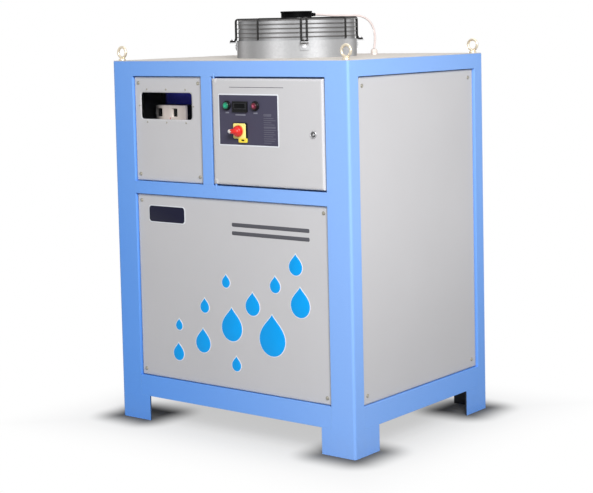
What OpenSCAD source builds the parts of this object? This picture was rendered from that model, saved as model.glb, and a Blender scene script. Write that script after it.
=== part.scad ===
// Air cooled water chiller: a sheet steel cabinet on four legs with screwed panels, a sight window,
// a hinged control door and an axial fan under a wire guard on the top.
// Millimetres. The origin is at the bottom centre of the whole, the front faces -Y and +Z is up.

/* [Cabinet] */
// Width of the cabinet across the front
cab_w = 940; // [880:1:1100]
// Depth of the cabinet from front to rear
cab_d = 730; // [660:1:900]
// Height of the frame with its legs
cab_h = 1160; // [1100:1:1300]
// Outside bend radius of the corner posts
corner_r = 8; // [4:0.5:14]
// Thickness of the top plate
top_t = 2; // [1.5:0.5:4]
// Distance of the top plate's edge from the frame's face
top_inset = 3; // [1:0.5:8]
// Thickness of the base plate
base_t = 3; // [2:0.5:6]
// Height of the base plate above the underside of the bottom rails
base_lift = 10; // [4:1:30]

/* [Frame] */
// Width of a corner post on the front and rear
post_w = 85; // [70:1:100]
// Width of a corner post on the sides
post_d = 48; // [42:1:60]
// Depth of the rails behind the frame's face
rail_depth = 46; // [36:1:48]
// Height of the top rails
top_rail_h = 47; // [36:1:60]
// Height of the bottom rails
bottom_rail_h = 66; // [50:1:80]
// Height of the middle rail on the front
mid_rail_h = 40; // [30:1:60]
// Height of the middle rail's underside above the floor
mid_rail_z = 738; // [700:1:780]
// Width of the upright between the sight panel and the door
mullion_w = 40; // [30:1:60]
// Height of the legs under the bottom rails
leg_h = 80; // [60:1:120]
// Width of a leg on each of its two outer faces
leg_w = 122; // [100:1:150]
// Thickness of a leg's folded sheet
leg_t = 5; // [3:0.5:12]
// Height of the lips that carry the panels
lip_h = 30; // [20:1:40]
// Thickness of the lips that carry the panels
lip_t = 3; // [2:0.5:4]

/* [Panels] */
// Thickness of the panel sheet
sheet_t = 2; // [1:0.5:3]
// Depth of a panel with its folded edges
panel_depth = 20; // [14:1:26]
// Distance of a panel's face behind the frame's face
panel_recess = 8; // [1:0.5:12]
// Gap around a panel
panel_gap = 2; // [1:0.5:4]
// Bend radius of the panel edges
panel_r = 3; // [1:0.5:5]

/* [Sight window] */
// Width of the opening that holds the sight panel
sight_w = 292; // [270:1:320]
// Width of the window cut-out
window_w = 216; // [150:1:220]
// Height of the window cut-out
window_h = 84; // [60:1:120]
// Corner radius of the window cut-out
window_r = 10; // [4:1:20]
// Distance of the window's top edge under the sight panel's top edge
window_drop = 50; // [40:1:90]
// Distance of the window's middle to the left of the sight panel's middle
window_aside = 8; // [0:1:12]
// Thickness of the clear pane
pane_t = 3; // [2:0.5:5]
// Overlap of the pane behind the panel on each side
pane_lap = 18; // [10:1:24]

/* [Pressure control] */
// Width of the pressure control
gauge_w = 130; // [100:1:160]
// Height of the pressure control
gauge_h = 110; // [80:1:130]
// Depth of the pressure control
gauge_d = 62; // [40:1:80]
// Depth of the box that holds the pressure control, behind the panel lips
gauge_box_depth = 100; // [90:1:180]
// Height of the pressure control above the middle rail
gauge_lift = 130; // [110:1:170]
// Distance of the pressure control from the left side of the sight panel's opening
gauge_x = 34; // [14:1:110]

/* [Control door] */
// Distance of the door's face in front of the frame's face
door_proud = 3; // [1:0.5:5]
// Gap between the door and the frame
door_gap = 5.5; // [5.5:0.5:8]
// Gap on the hinge side of the door
hinge_gap = 7; // [7:0.5:10]
// Distance of the hinge axis from the door's edge and face, and the radius of the door's edges
hinge_r = 5; // [5:0.5:6]
// Diameter of the hinge pins
hinge_d = 6; // [4:0.5:6]
// Length of the hinge pins in the door and in the rails
hinge_l = 12; // [8:1:14]
// Side of the blocks in the door that hold the hinge pins
hinge_block = 14; // [12:1:18]
// Width of the dark overlay on the door
overlay_w = 227; // [200:1:260]
// Height of the dark overlay on the door
overlay_h = 150; // [140:1:180]
// Thickness of the dark overlay
overlay_t = 1; // [0.5:0.5:2]
// Distance of the overlay from the hinge edge of the door
overlay_x = 30; // [20:1:60]
// Distance of the overlay under the door's top edge
overlay_drop = 50; // [36:1:70]
// Distance of the lamps under the overlay's top edge
lamp_drop = 32; // [28:1:38]
// Distance of the green lamp from the overlay's left edge
green_in = 32; // [26:1:36]
// Distance of the red lamp from the overlay's left edge
red_in = 143; // [136:1:160]
// Distance of the temperature controller's middle from the overlay's left edge
ctrl_in = 84; // [80:1:90]
// Distance of the temperature controller's middle under the overlay's top edge
ctrl_drop = 35; // [30:1:40]
// Distance of the switch from the overlay's left edge
switch_in = 82; // [70:1:110]
// Distance of the switch under the overlay's top edge
switch_drop = 108; // [96:1:112]
// Diameter of a lamp's bezel
lamp_d = 30; // [26:0.5:34]
// Diameter of a lamp's body behind the door
lamp_body_d = 22; // [16:0.5:24]
// Depth of a lamp's body behind the door's face
lamp_depth = 48; // [30:1:60]
// Width of the temperature controller
ctrl_w = 58; // [48:1:64]
// Height of the temperature controller
ctrl_h = 33; // [28:1:40]
// Depth of the temperature controller behind the door's face
ctrl_depth = 60; // [40:1:64]
// Width of the switch plate
switch_w = 56; // [48:1:62]
// Height of the switch plate
switch_h = 50; // [44:1:56]
// Thickness of the switch plate
switch_t = 6; // [4:0.5:8]
// Depth of the switch behind the door's face
switch_depth = 58; // [40:1:64]
// Diameter of the switch handle
handle_d = 34; // [28:1:40]
// Length of the switch handle's grip
grip_l = 50; // [44:1:64]
// Height of the switch handle's grip above its plate
grip_h = 26; // [18:1:32]
// Diameter of the switch handle's shaft
handle_shaft_d = 8; // [6:0.5:10]
// Distance of the lock from the door's free edge
lock_x = 36; // [30:1:44]
// Diameter of the lock's collar
lock_d = 23; // [20:0.5:28]
// Diameter of the lock's turning plug
plug_d = 12; // [8:0.5:14]
// Reach of the lock's cam from its axis
cam_reach = 31; // [28:1:32]

/* [Control box] */
// Depth of the control box behind the panel lips
box_depth = 180; // [140:1:240]
// Width of the flange around the control box's mouth
box_flange = 18; // [16:1:20]
// Clearance between the control box and the frame around it
box_clear = 1; // [0.5:0.5:2]
// Distance of the mounting plate from the control box's rear wall
plate_lift = 10; // [6:1:20]
// Distance of the mounting plate's edge from the control box's walls
plate_margin = 16; // [10:1:30]

/* [Fan] */
// Outside diameter of the fan shroud
shroud_d = 385; // [370:1:400]
// Height of the fan shroud
shroud_h = 55; // [50:1:70]
// Wall of the fan shroud
shroud_t = 2; // [1.5:0.5:3]
// Distance of the shroud's inner sleeve from its outside
sleeve_step = 5.5; // [5:0.5:7]
// Distance of the sleeve's rim under the guard's top
sleeve_drop = 3; // [2:0.5:12]
// Width of the inlet ring between the shroud's outside and the air opening
throat_ledge = 14.5; // [12:0.5:18]
// Gap between the impeller's blade tips and the air opening
tip_gap = 6; // [6:0.5:14]
// Number of impeller blades
blades = 5; // [4:1:7]
// Width of a blade along its chord
blade_chord = 100; // [70:1:104]
// Pitch of a blade
blade_pitch = 28; // [20:1:30]
// Thickness of a blade
blade_t = 3; // [2:0.5:4]
// Diameter of the rotor that carries the blades
rotor_d = 96; // [80:1:110]
// Height of the rotor
rotor_h = 70; // [60:1:74]
// Diameter of the motor above the guard
motor_d = 102; // [90:1:110]
// Height of the motor above the guard
motor_h = 20; // [18:1:32]
// Diameter of the fan shaft
fan_shaft_d = 12; // [8:0.5:14]
// Height of the guard's top above the shroud
guard_h = 66; // [62:1:76]
// Side of the guard's ring wires
wire_t = 3; // [2.5:0.5:4]
// Side of the guard's arms
arm_t = 6; // [4:0.5:7]
// Distance between ring wires
wire_pitch = 13.5; // [10:0.5:16]
// Distance between the two rods of a double arm
rod_gap = 18; // [14:1:24]
// Length of the ears that carry the guard's feet
ear_l = 24; // [20:1:28]
// Diameter of the bolt holes in the ears and feet
ear_bolt_d = 7; // [5:0.5:8]

/* [Lifting eyes] */
// Outside diameter of an eye
eye_d = 42; // [36:1:46]
// Diameter of the rod that an eye is bent from
eye_rod_d = 8.5; // [7:0.5:10]
// Diameter of an eye's collar
eye_collar_d = 24; // [20:1:28]
// Height of an eye's collar
eye_collar_h = 7; // [5:0.5:9]
// Diameter of an eye's shank
eye_shank_d = 10; // [8:1:12]
// Length of an eye's shank in the post
eye_shank_l = 22; // [16:1:30]
// Distance of an eye from the two outer faces of its post
eye_inset = 22; // [18:1:28]

/* [Fan cable] */
// Diameter of the fan cable
cable_d = 7; // [6:0.5:8]
// Diameter of the cable gland
gland_d = 22; // [18:1:26]
// Height of the cable gland above the top plate
gland_h = 20; // [16:1:26]

/* [Hidden] */
$fn = 64;
// Facets of the fan's large rounds
large_fn = 128;

// Running clearance of pins and shafts, and clearance of fixed shanks and bodies in their holes
run_clear = 0.05;
fix_clear = 0.3;
// Overlap that fuses solids of one piece, and overshoot of cuts
fuse = 1;

frame_blue = [0.50, 0.68, 0.95];
panel_grey = [0.76, 0.76, 0.77];
dark_slate = [0.28, 0.28, 0.33];

half_w = cab_w / 2;
half_d = cab_d / 2;
// Distance of the cabinet's middle behind the origin, which lies under the middle of the whole
mid_y = 19;
front_y = mid_y - half_d;
front_open_w = cab_w - 2 * post_w;
side_open_w = cab_d - 2 * post_d;
open_left = -front_open_w / 2;
open_right = front_open_w / 2;
bottom_z = leg_h + bottom_rail_h;
mid_top_z = mid_rail_z + mid_rail_h;
top_z = cab_h - top_rail_h;
seat_y = panel_recess + panel_depth;
back_y = seat_y + lip_t;

// Sight panel, with its width, height and middle
sight_mid_x = open_left + sight_w / 2;
sight_pan_w = sight_w - 2 * panel_gap;
sight_pan_h = top_z - mid_top_z - 2 * panel_gap;
window_x = sight_mid_x - window_aside;
window_z = top_z - panel_gap - window_drop - window_h;

// Door opening and door
door_open_x = open_left + sight_w + mullion_w;
door_open_w = open_right - door_open_x;
door_left = door_open_x + hinge_gap;
door_right = open_right - door_gap;
door_w = door_right - door_left;
door_z = mid_top_z + door_gap;
door_h = top_z - mid_top_z - 2 * door_gap;
door_mid_x = (door_left + door_right) / 2;
hinge_x = door_left + hinge_r;
hinge_y = front_y - door_proud + hinge_r;
face_y = front_y - door_proud;
overlay_face_y = face_y - overlay_t;
overlay_left = door_left + overlay_x;
overlay_top = door_z + door_h - overlay_drop;

// Places and small sizes of the parts on the door
green_x = overlay_left + green_in;
red_x = overlay_left + red_in;
lamp_z = overlay_top - lamp_drop;
ctrl_x = overlay_left + ctrl_in;
ctrl_z = overlay_top - ctrl_drop;
switch_x = overlay_left + switch_in;
switch_z = overlay_top - switch_drop;
lock_axis_x = door_right - lock_x;
lock_axis_z = door_z + door_h / 2;
bezel_h = 4;
lens_h = 9;
ctrl_bezel = 6;
ctrl_lip = 3;
ctrl_hole_w = ctrl_w - 2 * ctrl_lip + 2 * fix_clear;
ctrl_hole_h = ctrl_h - 2 * ctrl_lip + 2 * fix_clear;
switch_neck_d = 22;
switch_body = 44;
tab_w = 32;
tab_h = 10;
handle_lift = 2;
handle_base_h = 10;
grip_w = 16;
shaft_in = 40;
collar_t = 3;
barrel_d = 18;
cam_t = 3;
cam_w = 14;
cam_gap = 5;
cam_y = front_y + back_y + sheet_t + cam_gap;

// Fan, with its heights above the floor
cross_turns = [0, 90, 180, 270];
diagonal_turns = [45, 135, 225, 315];
throat_d = shroud_d - 2 * throat_ledge;
impeller_d = throat_d - 2 * tip_gap;
deck_z = cab_h + top_t;
shroud_top = deck_z + shroud_h;
shroud_r = shroud_d / 2;
sleeve_d = shroud_d - 2 * sleeve_step;
ring_r = shroud_r - wire_t / 2 + fuse;
guard_top = shroud_top + guard_h;
top_wire_z = guard_top - wire_t;
side_rings = 1 + floor((guard_h - 2 * wire_t) / wire_pitch);
hub_rim = 8;
hub_r = motor_d / 2 + hub_rim;
hub_bore_r = 40;
hub_t = arm_t;
top_rings = floor((ring_r - hub_r - wire_t) / wire_pitch);
motor_seat = guard_top + arm_t - fuse;
ear_t = 3;
ear_margin = 3;
ear_w = rod_gap + arm_t + ear_margin;
ear_drop = 4;
ear_z = shroud_top - ear_drop - ear_t;
foot_t = 4;
web_t = 3;
web_h = 24;
blade_rise = 36;
blade_mid_z = deck_z + blade_rise;
rotor_rise = 12;
rotor_z = deck_z + rotor_rise;
neck_clear = 2;
motor_neck_d = 2 * (hub_bore_r - neck_clear);
motor_gap = 8;
motor_low = rotor_z + rotor_h + motor_gap;
motor_cap = 10;
shaft_top = motor_seat + motor_h - motor_cap;
arm_r = ring_r + wire_t / 2 - fuse;

// Boss on the motor where the cable leaves it
boss_d = 12;
boss_rise = 8;
boss_sink = 5;
boss_l = 11;
boss_z = motor_seat + boss_rise;
boss_end = motor_d / 2 + boss_l;

// Cable route in the upright plane of one diagonal, as distance from the fan's axis and height above
// the floor: it leaves the boss, lies along the guard's top and hangs over the rim into the gland
cable_turn = 45;
cable_sides = 10;
cable_steps = 10;
gland_out = 58.5;
gland_reach = shroud_r + gland_out;
gland_top = deck_z + gland_h;
lay_z = guard_top + cable_d;
rim_reach = shroud_r;
cable_ease = 30;
rim_swing = 37;
gland_swing = 78;
gland_lean = 16;
cable_lay = [[boss_end, boss_z], [boss_end + cable_ease, boss_z], [boss_end + cable_ease, lay_z],
    [rim_reach, lay_z]];
cable_drop = [[rim_reach, lay_z], [rim_reach + rim_swing, lay_z],
    [gland_reach + gland_lean, gland_top + gland_swing], [gland_reach, gland_top]];
cable_route = concat([for (i = [0:cable_steps]) bezier(cable_lay, i / cable_steps)],
    [for (i = [1:cable_steps]) bezier(cable_drop, i / cable_steps)]);

// Point of a cubic curve at a share of its length
function bezier(p, t) =
    pow(1 - t, 3) * p[0] + 3 * t * pow(1 - t, 2) * p[1] + 3 * t * t * (1 - t) * p[2] + pow(t, 3) * p[3];

// A rectangle with one rounded corner at the origin
module corner_plan(w, d) {
    translate([corner_r, 0]) square([w - corner_r, d]);
    translate([0, corner_r]) square([w, d - corner_r]);
    translate([corner_r, corner_r]) circle(corner_r);
}

// A rectangle about the origin with four rounded corners
module rounded_plan(w, h, r) {
    square([w - 2 * r, h], center = true);
    square([w, h - 2 * r], center = true);
    for (sx = [-1, 1], sy = [-1, 1])
        translate([sx * (w / 2 - r), sy * (h / 2 - r)]) circle(r);
}

// A strip with two rounded corners on its front edge, which lies on the X axis
module front_plan(length, depth, r) {
    translate([r, 0]) square([length - 2 * r, depth]);
    translate([0, r]) square([length, depth - r]);
    for (x = [r, length - r])
        translate([x, r]) circle(r);
}

// A slab with four rounded front edges, from its lower edge up and about X = 0
module rounded_slab(w, h, depth, r) {
    intersection() {
        translate([-w / 2, 0, 0]) linear_extrude(h) front_plan(w, depth, r);
        translate([-w / 2, 0, 0]) rotate([90, 0, 90]) linear_extrude(w)
            mirror([1, -1]) front_plan(h, depth, r);
    }
}

// A sheet panel with its edges folded to the rear
module pan(w, h, depth, r) {
    difference() {
        rounded_slab(w, h, depth, r);
        translate([-w / 2 + sheet_t, sheet_t, sheet_t])
            cube([w - 2 * sheet_t, depth, h - 2 * sheet_t]);
    }
}

// Turns a piece made on the plane Y = 0 to one of the four faces of the cabinet
module on_face(turn, reach) {
    translate([0, mid_y, 0]) rotate([0, 0, turn]) translate([0, -reach, 0]) children();
}

// A cylinder along +Y
module rod_y(d, l) {
    rotate([-90, 0, 0]) cylinder(d = d, h = l);
}

module corner_post(right, rear) {
    color(frame_blue) translate([0, mid_y, 0]) mirror([right, 0, 0]) mirror([0, rear, 0])
        translate([-half_w, -half_d, 0])
        difference() {
            union() {
                translate([0, 0, leg_h - fuse])
                    linear_extrude(cab_h - leg_h + fuse) corner_plan(post_w, post_d);
                linear_extrude(leg_h) difference() {
                    corner_plan(leg_w, leg_w);
                    translate([leg_t, leg_t]) square(leg_w);
                }
            }
            translate([eye_inset, eye_inset, cab_h - eye_shank_l - fuse])
                cylinder(d = eye_shank_d + 2 * fix_clear, h = eye_shank_l + 2 * fuse);
        }
}

// A rail with a lip above or below it for the panels
module rail(width, z, h, lip_up, lip_down) {
    color(frame_blue) translate([-width / 2, 0, z]) {
        cube([width, rail_depth, h]);
        if (lip_up) translate([0, seat_y, h / 2]) cube([width, lip_t, h / 2 + lip_h]);
        if (lip_down) translate([0, seat_y, -lip_h]) cube([width, lip_t, h / 2 + lip_h]);
    }
}

module top_rail(turn, reach, width) {
    on_face(turn, reach) rail(width, top_z, top_rail_h, false, true);
}

module bottom_rail(turn, reach, width) {
    on_face(turn, reach) rail(width, leg_h, bottom_rail_h, true, false);
}

module hinge_hole(z) {
    translate([hinge_x, hinge_y, z])
        cylinder(d = hinge_d + 2 * run_clear, h = 2 * hinge_l + door_gap, center = true);
}

module front_top_rail() {
    color(frame_blue) difference() {
        top_rail(0, half_d, front_open_w);
        hinge_hole(top_z - door_gap / 2);
    }
}

module front_mid_rail() {
    color(frame_blue) difference() {
        on_face(0, half_d) rail(front_open_w, mid_rail_z, mid_rail_h, true, true);
        hinge_hole(mid_top_z + door_gap / 2);
    }
}

module front_mullion() {
    color(frame_blue) translate([open_left + sight_w, front_y, mid_top_z])
        cube([mullion_w, seat_y, top_z - mid_top_z]);
}

module top_plate() {
    color(panel_grey) translate([0, mid_y, 0]) difference() {
        translate([-half_w + top_inset, -half_d + top_inset, cab_h])
            cube([cab_w - 2 * top_inset, cab_d - 2 * top_inset, top_t]);
        translate([0, 0, cab_h - fuse]) cylinder(d = throat_d, h = top_t + 2 * fuse, $fn = large_fn);
        for (sx = [-1, 1], sy = [-1, 1])
            translate([sx * (half_w - eye_inset), sy * (half_d - eye_inset), cab_h - fuse])
                cylinder(d = eye_shank_d + 2 * fix_clear, h = top_t + 2 * fuse);
    }
}

module base_plate() {
    color(panel_grey) translate([0, mid_y, leg_h + base_lift]) difference() {
        translate([-half_w + rail_depth, -half_d + rail_depth, 0])
            cube([cab_w - 2 * rail_depth, cab_d - 2 * rail_depth, base_t]);
        for (sx = [-1, 1], sy = [-1, 1])
            translate([sx * (half_w - post_w / 2), sy * (half_d - post_d / 2), base_t / 2])
                cube([post_w, post_d, base_t + 2 * fuse], center = true);
    }
}

module sight_panel() {
    color(panel_grey) difference() {
        translate([sight_mid_x, front_y + panel_recess, mid_top_z + panel_gap])
            pan(sight_pan_w, sight_pan_h, panel_depth, panel_r);
        translate([window_x, front_y + panel_recess + sheet_t + fuse, window_z + window_h / 2])
            rotate([90, 0, 0]) linear_extrude(sheet_t + 2 * fuse)
                rounded_plan(window_w, window_h, window_r);
    }
}

module sight_pane() {
    color([0.7, 0.8, 0.85, 0.4])
        translate([window_x - window_w / 2 - pane_lap, front_y + panel_recess + sheet_t,
                window_z - pane_lap])
            cube([window_w + 2 * pane_lap, pane_t, window_h + 2 * pane_lap]);
}

module lower_front_panel() {
    color(panel_grey) translate([0, front_y + panel_recess, bottom_z + panel_gap])
        pan(front_open_w - 2 * panel_gap, mid_rail_z - bottom_z - 2 * panel_gap, panel_depth, panel_r);
}

// A panel that fills one whole side between the posts and the top and bottom rails
module tall_panel(turn, reach, width) {
    color(panel_grey) on_face(turn, reach) translate([0, panel_recess, bottom_z + panel_gap])
        pan(width - 2 * panel_gap, top_z - bottom_z - 2 * panel_gap, panel_depth, panel_r);
}

// A sheet box behind an opening of the front, with a flange around its mouth
module recess_box(x, open_w, depth) {
    w = open_w - 2 * box_clear;
    h = top_z - mid_top_z - 2 * box_clear;
    color(frame_blue) translate([x + box_clear, front_y + back_y, mid_top_z + box_clear])
        difference() {
            cube([w, depth, h]);
            translate([sheet_t, sheet_t, sheet_t])
                cube([w - 2 * sheet_t, depth - 2 * sheet_t, h - 2 * sheet_t]);
            translate([box_flange, -fuse, box_flange])
                cube([w - 2 * box_flange, sheet_t + 2 * fuse, h - 2 * box_flange]);
        }
}

module pressure_control() {
    cover_r = 6;
    slot_w = 22;
    slot_h = 26;
    slot_depth = 4;
    slot_aside = 14;
    mid_x = open_left + gauge_x + gauge_w / 2;
    gauge_y = front_y + back_y + gauge_box_depth - sheet_t - gauge_d;
    color([0.86, 0.83, 0.78]) translate([mid_x, gauge_y, mid_top_z + gauge_lift])
        difference() {
            rounded_slab(gauge_w, gauge_h, gauge_d, cover_r);
            for (side = [-1, 1])
                translate([side * gauge_w / 4 - slot_aside - slot_w / 2, -fuse,
                        gauge_h - slot_h - slot_w / 2])
                    cube([slot_w, slot_depth + fuse, slot_h]);
        }
}

// A galvanised plate on two standing folds against the rear wall of the control box
module mounting_plate() {
    inset = box_clear + sheet_t + plate_margin;
    w = door_open_w - 2 * inset;
    h = top_z - mid_top_z - 2 * inset;
    plate_y = front_y + back_y + box_depth - sheet_t - plate_lift;
    color("silver") translate([door_open_x + inset, plate_y, mid_top_z + inset]) {
        cube([w, sheet_t, h]);
        for (x = [0, w - sheet_t])
            translate([x, 0, 0]) cube([sheet_t, plate_lift, h]);
    }
}

module hinge_pins() {
    color("silver") for (z = [mid_top_z + door_gap / 2, top_z - door_gap / 2])
        translate([hinge_x, hinge_y, z])
            cylinder(d = hinge_d, h = 2 * hinge_l + door_gap - 2 * run_clear, center = true);
}

module control_door() {
    color(panel_grey) difference() {
        union() {
            translate([door_mid_x, face_y, door_z]) pan(door_w, door_h, panel_depth, hinge_r);
            for (z = [door_z + sheet_t - fuse, door_z + door_h - sheet_t + fuse - hinge_block])
                translate([door_left + sheet_t - fuse, face_y + sheet_t - fuse, z])
                    cube([hinge_block, hinge_block, hinge_block]);
        }
        hinge_hole(mid_top_z + door_gap / 2);
        hinge_hole(top_z - door_gap / 2);
        for (x = [green_x, red_x])
            translate([x, face_y - fuse, lamp_z]) rod_y(lamp_body_d + 2 * fix_clear, panel_depth);
        translate([ctrl_x, face_y, ctrl_z]) cube([ctrl_hole_w, panel_depth, ctrl_hole_h], center = true);
        translate([switch_x, face_y - fuse, switch_z]) rod_y(switch_neck_d + 2 * fix_clear, panel_depth);
        translate([lock_axis_x, face_y - fuse, lock_axis_z]) rod_y(barrel_d + 2 * fix_clear, panel_depth);
    }
}

module overlay_plate() {
    color(dark_slate) difference() {
        translate([overlay_left, overlay_face_y, overlay_top - overlay_h])
            cube([overlay_w, overlay_t, overlay_h]);
        for (x = [green_x, red_x])
            translate([x, overlay_face_y - fuse, lamp_z])
                rod_y(lamp_body_d + 2 * fix_clear, overlay_t + 2 * fuse);
        translate([ctrl_x, overlay_face_y, ctrl_z])
            cube([ctrl_hole_w, panel_depth, ctrl_hole_h], center = true);
        translate([switch_x, overlay_face_y - fuse, switch_z])
            rod_y(switch_neck_d + 2 * fix_clear, overlay_t + 2 * fuse);
    }
}

// A pilot lamp: a bezel and a lens in front of the overlay, and a body behind the door
module pilot_lamp(x, tint) {
    color(tint) translate([x, overlay_face_y, lamp_z]) {
        translate([0, -bezel_h, 0]) rod_y(lamp_d, bezel_h);
        translate([0, -bezel_h - lens_h, 0]) rod_y(lamp_body_d, lens_h + fuse);
        translate([0, -fuse, 0]) rod_y(lamp_body_d, lamp_depth + fuse);
    }
}

module controller() {
    color([0.08, 0.08, 0.09]) translate([ctrl_x, overlay_face_y, ctrl_z]) {
        translate([-ctrl_w / 2, -ctrl_bezel, -ctrl_h / 2]) cube([ctrl_w, ctrl_bezel, ctrl_h]);
        translate([-ctrl_w / 2 + ctrl_lip, -fuse, -ctrl_h / 2 + ctrl_lip])
            cube([ctrl_w - 2 * ctrl_lip, ctrl_depth + fuse, ctrl_h - 2 * ctrl_lip]);
    }
}

module switch_plate() {
    body_y = panel_depth + overlay_t;
    color([0.95, 0.85, 0.12]) translate([switch_x, overlay_face_y, switch_z]) difference() {
        union() {
            translate([-switch_w / 2, -switch_t, -switch_h / 2]) cube([switch_w, switch_t, switch_h]);
            translate([switch_w / 2 - tab_w, -switch_t, -switch_h / 2 - tab_h])
                cube([tab_w, switch_t, tab_h + fuse]);
            translate([0, -fuse, 0]) rod_y(switch_neck_d, body_y + 2 * fuse);
            translate([-switch_body / 2, body_y, -switch_body / 2])
                cube([switch_body, switch_depth - body_y, switch_body]);
        }
        translate([0, -switch_t - fuse, 0]) rod_y(handle_shaft_d + 2 * run_clear, shaft_in + fuse);
    }
}

module switch_handle() {
    back_face = overlay_face_y - switch_t - handle_lift;
    color([0.85, 0.10, 0.08]) translate([switch_x, back_face, switch_z]) {
        translate([0, -handle_base_h, 0]) rod_y(handle_d, handle_base_h);
        translate([-grip_l / 2, -grip_h, -grip_w / 2])
            cube([grip_l, grip_h - handle_base_h + fuse, grip_w]);
        translate([0, -fuse, 0]) rod_y(handle_shaft_d, shaft_in - fuse);
    }
}

module lock_collar() {
    color("silver") translate([lock_axis_x, face_y, lock_axis_z]) difference() {
        union() {
            translate([0, -collar_t, 0]) rod_y(lock_d, collar_t);
            translate([0, -fuse, 0]) rod_y(barrel_d, panel_depth + fuse);
        }
        translate([0, -collar_t - fuse, 0])
            rod_y(plug_d + 2 * run_clear, panel_depth + collar_t + 2 * fuse);
    }
}

module lock_cam() {
    plug_l = cam_y + cam_t - face_y + collar_t;
    color("silver") {
        translate([lock_axis_x, face_y - collar_t, lock_axis_z]) rod_y(plug_d, plug_l);
        translate([lock_axis_x, cam_y, lock_axis_z]) rod_y(cam_w, cam_t);
        translate([lock_axis_x - cam_w / 2, cam_y, lock_axis_z]) cube([cam_w, cam_t, cam_reach]);
    }
}

module fan_shroud() {
    color([0.78, 0.80, 0.82]) translate([0, mid_y, 0]) difference() {
        union() {
            translate([0, 0, deck_z]) cylinder(d = shroud_d, h = shroud_h, $fn = large_fn);
            for (turn = diagonal_turns)
                rotate([0, 0, turn]) translate([shroud_r - shroud_t, -ear_w / 2, ear_z]) {
                    cube([ear_l + shroud_t, ear_w, ear_t]);
                    translate([0, 0, -web_h]) cube([shroud_t + web_t, ear_w, web_h + fuse]);
                }
        }
        translate([0, 0, deck_z + ear_t])
            cylinder(d = shroud_d - 2 * shroud_t, h = shroud_h, $fn = large_fn);
        translate([0, 0, deck_z - fuse]) cylinder(d = throat_d, h = shroud_h, $fn = large_fn);
        for (turn = diagonal_turns)
            rotate([0, 0, turn]) translate([shroud_r + ear_l / 2, 0, ear_z - fuse])
                cylinder(d = ear_bolt_d, h = ear_t + 2 * fuse);
    }
    color([0.78, 0.80, 0.82]) translate([0, mid_y, deck_z]) difference() {
        cylinder(d = sleeve_d, h = guard_top - sleeve_drop - deck_z, $fn = large_fn);
        translate([0, 0, -fuse])
            cylinder(d = sleeve_d - 2 * shroud_t, h = guard_top - deck_z, $fn = large_fn);
    }
}

module square_ring(r, z) {
    translate([0, 0, z]) difference() {
        cylinder(r = r + wire_t / 2, h = wire_t, $fn = large_fn);
        translate([0, 0, -fuse]) cylinder(r = r - wire_t / 2, h = wire_t + 2 * fuse, $fn = large_fn);
    }
}

// A rod of the guard: over the top from the hub to the rim, and down the side to a height
module guard_rod(offset, low_z) {
    translate([hub_r - arm_t, offset - arm_t / 2, guard_top - fuse])
        cube([arm_r + 2 * arm_t - hub_r, arm_t, arm_t]);
    translate([arm_r, offset - arm_t / 2, low_z])
        cube([arm_t, arm_t, guard_top + arm_t - fuse - low_z]);
}

module fan_guard() {
    foot_z = ear_z + ear_t;
    color([0.10, 0.10, 0.11]) translate([0, mid_y, 0]) {
        for (i = [0:side_rings - 1])
            square_ring(ring_r, top_wire_z - i * wire_pitch);
        for (i = [1:top_rings])
            square_ring(ring_r - i * wire_pitch, top_wire_z);
        difference() {
            translate([0, 0, guard_top - fuse]) cylinder(r = hub_r, h = hub_t);
            translate([0, 0, guard_top - 2 * fuse]) cylinder(r = hub_bore_r, h = hub_t + 2 * fuse);
        }
        for (turn = cross_turns)
            rotate([0, 0, turn]) guard_rod(0, shroud_top + wire_t);
        for (turn = diagonal_turns)
            rotate([0, 0, turn]) {
                for (side = [-1, 1])
                    guard_rod(side * rod_gap / 2, foot_z);
                difference() {
                    translate([arm_r, -ear_w / 2, foot_z])
                        cube([ear_l + shroud_r - arm_r, ear_w, foot_t]);
                    translate([shroud_r + ear_l / 2, 0, foot_z - fuse])
                        cylinder(d = ear_bolt_d, h = foot_t + 2 * fuse);
                }
            }
    }
}

module fan_motor() {
    color([0.06, 0.06, 0.06]) translate([0, mid_y, 0]) difference() {
        union() {
            translate([0, 0, motor_seat]) cylinder(d = motor_d, h = motor_h);
            translate([0, 0, motor_low]) cylinder(d = motor_neck_d, h = motor_seat - motor_low + fuse);
            rotate([0, 0, cable_turn]) translate([motor_d / 2 - boss_sink, 0, boss_z]) rotate([0, 90, 0])
                cylinder(d = boss_d, h = boss_l + boss_sink);
        }
        translate([0, 0, motor_low - fuse])
            cylinder(d = fan_shaft_d + 2 * run_clear, h = shaft_top - motor_low + 2 * fuse);
    }
}

module fan_impeller() {
    blade_room = shroud_h + guard_h;
    color([0.12, 0.12, 0.13]) translate([0, mid_y, 0]) {
        translate([0, 0, rotor_z]) cylinder(d = rotor_d, h = rotor_h);
        translate([0, 0, rotor_z]) cylinder(d = fan_shaft_d, h = shaft_top - rotor_z);
        for (i = [0:blades - 1])
            rotate([0, 0, i * 360 / blades]) intersection() {
                translate([impeller_d / 4, 0, blade_mid_z]) rotate([blade_pitch, 0, 0])
                    cube([impeller_d / 2 + fuse, blade_chord, blade_t], center = true);
                translate([0, 0, deck_z]) difference() {
                    cylinder(d = impeller_d, h = blade_room, $fn = large_fn);
                    translate([0, 0, -fuse]) cylinder(d = rotor_d - 4 * fuse, h = blade_room + 2 * fuse);
                }
            }
    }
}

module cable_gland() {
    nut_h = 7;
    nut_over = 3;
    nut_sides = 6;
    color([0.75, 0.72, 0.70]) translate([0, mid_y, 0]) rotate([0, 0, cable_turn])
        translate([gland_reach, 0, deck_z]) {
            cylinder(d = gland_d + nut_over, h = nut_h, $fn = nut_sides);
            translate([0, 0, nut_h - fuse]) cylinder(d = gland_d, h = gland_h - nut_h + fuse);
        }
}

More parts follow.
